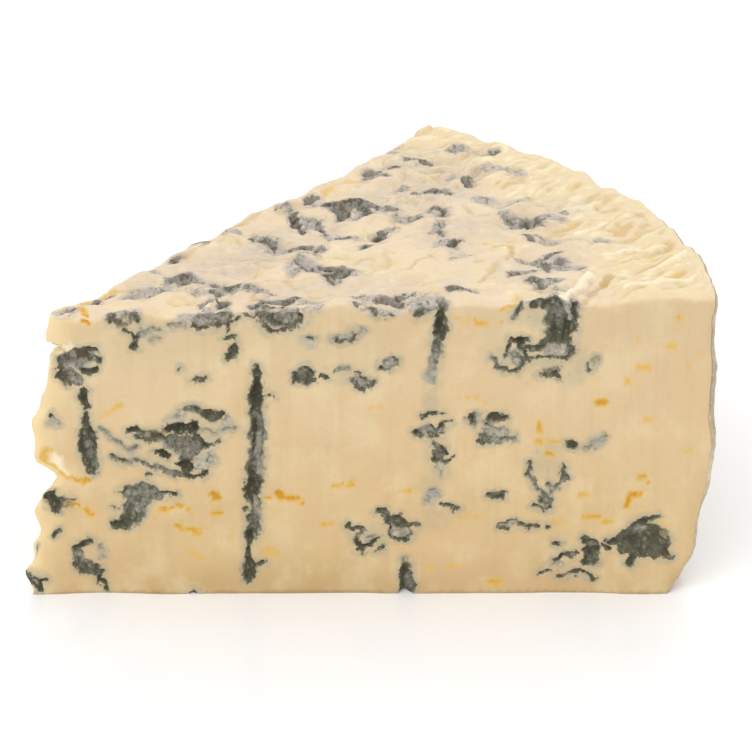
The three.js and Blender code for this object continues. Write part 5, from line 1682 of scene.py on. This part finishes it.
def mould_layer(s, torn):
    """Colour and cover of the mould: painted light on its lumps, painted shade in the gaps between them and
    in the top's small pits, and a broken dark rim of painted shade.
    """
    colour = s.fact("pigment_and_cave_shade", "Color")
    softness = s.fact("pigment_and_cave_shade", "Alpha")
    cells = s.cells(0.85)
    edge = s.plus(s.fact("mould"), s.span(s.noise(1.2, 4, 0.6), 0.2, 0.8, -0.26, 0.32))
    edge = s.plus(edge, s.span(cells, 0, 0.3, -0.12, 0.08))
    edge = s.plus(edge, s.span(torn, 0, 1, 0, 0.12))
    mask = s.span(edge, s.times(softness, -1.9), s.times(softness, 1.3))
    mask = s.times(mask, s.span(softness, 0.18, 0.32, 1, 0.7))
    spots = s.plus(s.fact("lump"), s.span(s.noise(0.55, 3, 0.6), 0.25, 0.75, -0.5, 0.5))
    lively = s.span(softness, 0.08, 0.17, 0.3, 0.75)
    # Painted light on the tops of the lumps
    lit = s.times(s.span(spots, -0.1, 0.7), s.span(cells, 0.04, 0.26))
    colour = s.over(colour, s.times(lit, lively), 184, 180, 162)
    # Painted shade in the low places between lumps and along the cells' edges
    colour = s.over(colour, s.span(spots, -0.1, -0.75, 0, 0.6), 66, 63, 48)
    colour = s.over(colour, s.span(cells, 0.1, 0.0, 0, 0.35), 78, 75, 58)
    # A broken dark rim of painted shade at the pocket's edge
    rim = s.times(s.span(edge, 0.34, 0.08, 0, 0.6), s.spots(s.noise(2, 2), 0.44, 0.6))
    colour = s.over(colour, s.times(rim, s.span(softness, 0.1, 0.14)), 74, 71, 58)
    lilac = s.times(torn, s.span(s.noise(1.9, 3, 0.6), 0.38, 0.56, 0.1, 0.8))
    colour = s.over(colour, s.times(lilac, s.span(softness, 0.1, 0.16, 0.5, 1)), 200, 192, 183)
    # Painted shade in small pits of the torn top's mould
    pits = s.times(torn, s.spots(s.noise(1.2, 3, 0.6), 0.56, 0.66, 0.65))
    return s.over(colour, pits, 84, 76, 60), mask


def rind_colour(s, wrinkles):
    """Tan rind with grey patches, fine dark wrinkles, pale dust and specks."""
    colour = s.over(shade(211, 190, 155), s.spots(s.noise(7, 5, 0.65), 0.35, 0.65), 188, 165, 130)
    colour = s.over(colour, s.spots(s.noise(14, 4, 0.65), 0.55, 0.68, 0.5), 158, 150, 132)
    colour = s.over(colour, s.span(wrinkles, 0.1, 0.0, 0, 0.12), 146, 126, 96)
    colour = s.over(colour, s.spots(s.noise(0.9, 5, 0.75), 0.5, 0.7, 0.6), 228, 216, 194)
    return s.over(colour, s.spots(s.noise(0.6, 3, 0.6), 0.62, 0.7, 0.5), 120, 108, 84)


def cheese_material():
    s = Shader("cheese")
    torn = s.span(s.fact("from_top"), 1.3, 0.1)
    from_rind = s.plus(s.fact("from_rind"), s.span(s.noise(1.5, 3), 0.3, 0.7, -0.05, 0.05))
    rind = s.span(from_rind, 0.22, 0.08)
    height = s.add("ShaderNodeSeparateXYZ", {0: s.place}).outputs[2]
    wrinkles = s.cells(2.4)

    paste = s.blend(torn, cut_paste(s, height), torn_paste(s))
    paste = s.over(paste, s.spots(s.noise(1.1, 4, 0.65), 0.5, 0.78, 0.28), 200, 168, 122)
    # Painted light: the paste is lighter towards the tip, a glow of light through the thin tip
    paste = s.over(paste, s.times(s.fact("tip"), 0.6), 240, 216, 162)
    mould, mask = mould_layer(s, torn)
    colour = s.blend(mask, marked_paste(s, paste, torn), mould)
    colour = s.blend(rind, colour, rind_colour(s, wrinkles))

    # A thin dark skin where the rind meets the cut, fainter towards the floor
    skin = s.times(s.span(from_rind, 0.42, 0.26), s.span(from_rind, -0.02, 0.12))
    colour = s.over(colour, s.times(skin, s.span(height, 20 * MM, 36 * MM, 0.1, 0.65)), 120, 112, 88)

    bumps = s.blend(mask, s.noise(0.9, 5, 0.6), s.noise(0.5, 4, 0.6))
    bumps = s.blend(rind, bumps, s.plus(s.span(wrinkles, 0, 0.15, 0, 0.4), s.noise(0.7, 5, 0.7)))
    normal = s.add("ShaderNodeBump", {"Strength": 0.4, "Distance": 0.2 * MM, "Height": bumps}).outputs[0]
    inputs = {
        "Base Color": colour,
        "Roughness": s.span(mask, 0, 1, 0.46, 0.85),
        "Normal": normal,
        "Subsurface Weight": s.span(mask, 0, 1, 0.3, 0.03),
        "Subsurface Radius": (1.0, 0.6, 0.3),
        "Subsurface Scale": 1.6 * MM,
    }
    return s.finish(inputs)


# Studio
def add_light(name, place, size, power):
    light = bpy.data.lights.new(name, "AREA")
    light.shape = "DISK"
    light.size = size
    light.energy = power
    lamp = bpy.data.objects.new(name, light)
    lamp.location = place
    lamp.rotation_euler = (Vector(LIGHT_AIM) - Vector(place)).to_track_quat("-Z", "Y").to_euler()
    bpy.context.collection.objects.link(lamp)


def make_floor():
    mesh = bpy.data.meshes.new("floor")
    half = FLOOR_HALF
    corners = [(-half, -half, 0), (half, -half, 0), (half, half, 0), (-half, half, 0)]
    mesh.from_pydata(corners, [], [(0, 1, 2, 3)])
    floor = bpy.data.objects.new("floor", mesh)
    s = Shader("floor")
    tone = s.blend(s.spots(s.noise(40, 2), 0.4, 0.6), *FLOOR_TONES)
    mesh.materials.append(s.finish({"Base Color": tone, "Roughness": 0.22, "Specular IOR Level": 0.22}))
    bpy.context.collection.objects.link(floor)


def make_camera(middle):
    """The photo's camera: level across and tilted down at the wedge."""
    camera = bpy.data.objects.new("camera", bpy.data.cameras.new("camera"))
    tilt = CAMERA["tilt"]
    back = np.array((0, math.cos(tilt), -math.sin(tilt)))
    camera.location = (np.array(CAMERA["aim"]) - middle - CAMERA["distance"] * back) * MM
    camera.rotation_euler = (math.pi / 2 - tilt, 0, 0)
    camera.data.lens = CAMERA["lens"]
    camera.data.sensor_width = CAMERA["sensor"]
    camera.data.clip_end = CAMERA["reach"]
    bpy.context.collection.objects.link(camera)
    bpy.context.scene.camera = camera


def make_world():
    world = bpy.data.worlds.new("studio")
    world.use_nodes = True
    background = world.node_tree.nodes["Background"]
    background.inputs["Color"].default_value = (1, 1, 1, 1)
    background.inputs["Strength"].default_value = SKY_LIGHT
    bpy.context.scene.world = world


cheese_mesh, wedge_middle = make_mesh()
cheese_mesh.materials.append(cheese_material())
cheese = bpy.data.objects.new("cheese", cheese_mesh)
bpy.context.collection.objects.link(cheese)
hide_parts(NODE)
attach(cheese, "root")

make_floor()
make_camera(wedge_middle)
make_world()
for light_name, light_settings in LIGHTS.items():
    add_light(light_name, **light_settings)
bpy.context.scene.view_settings.view_transform = "Standard"
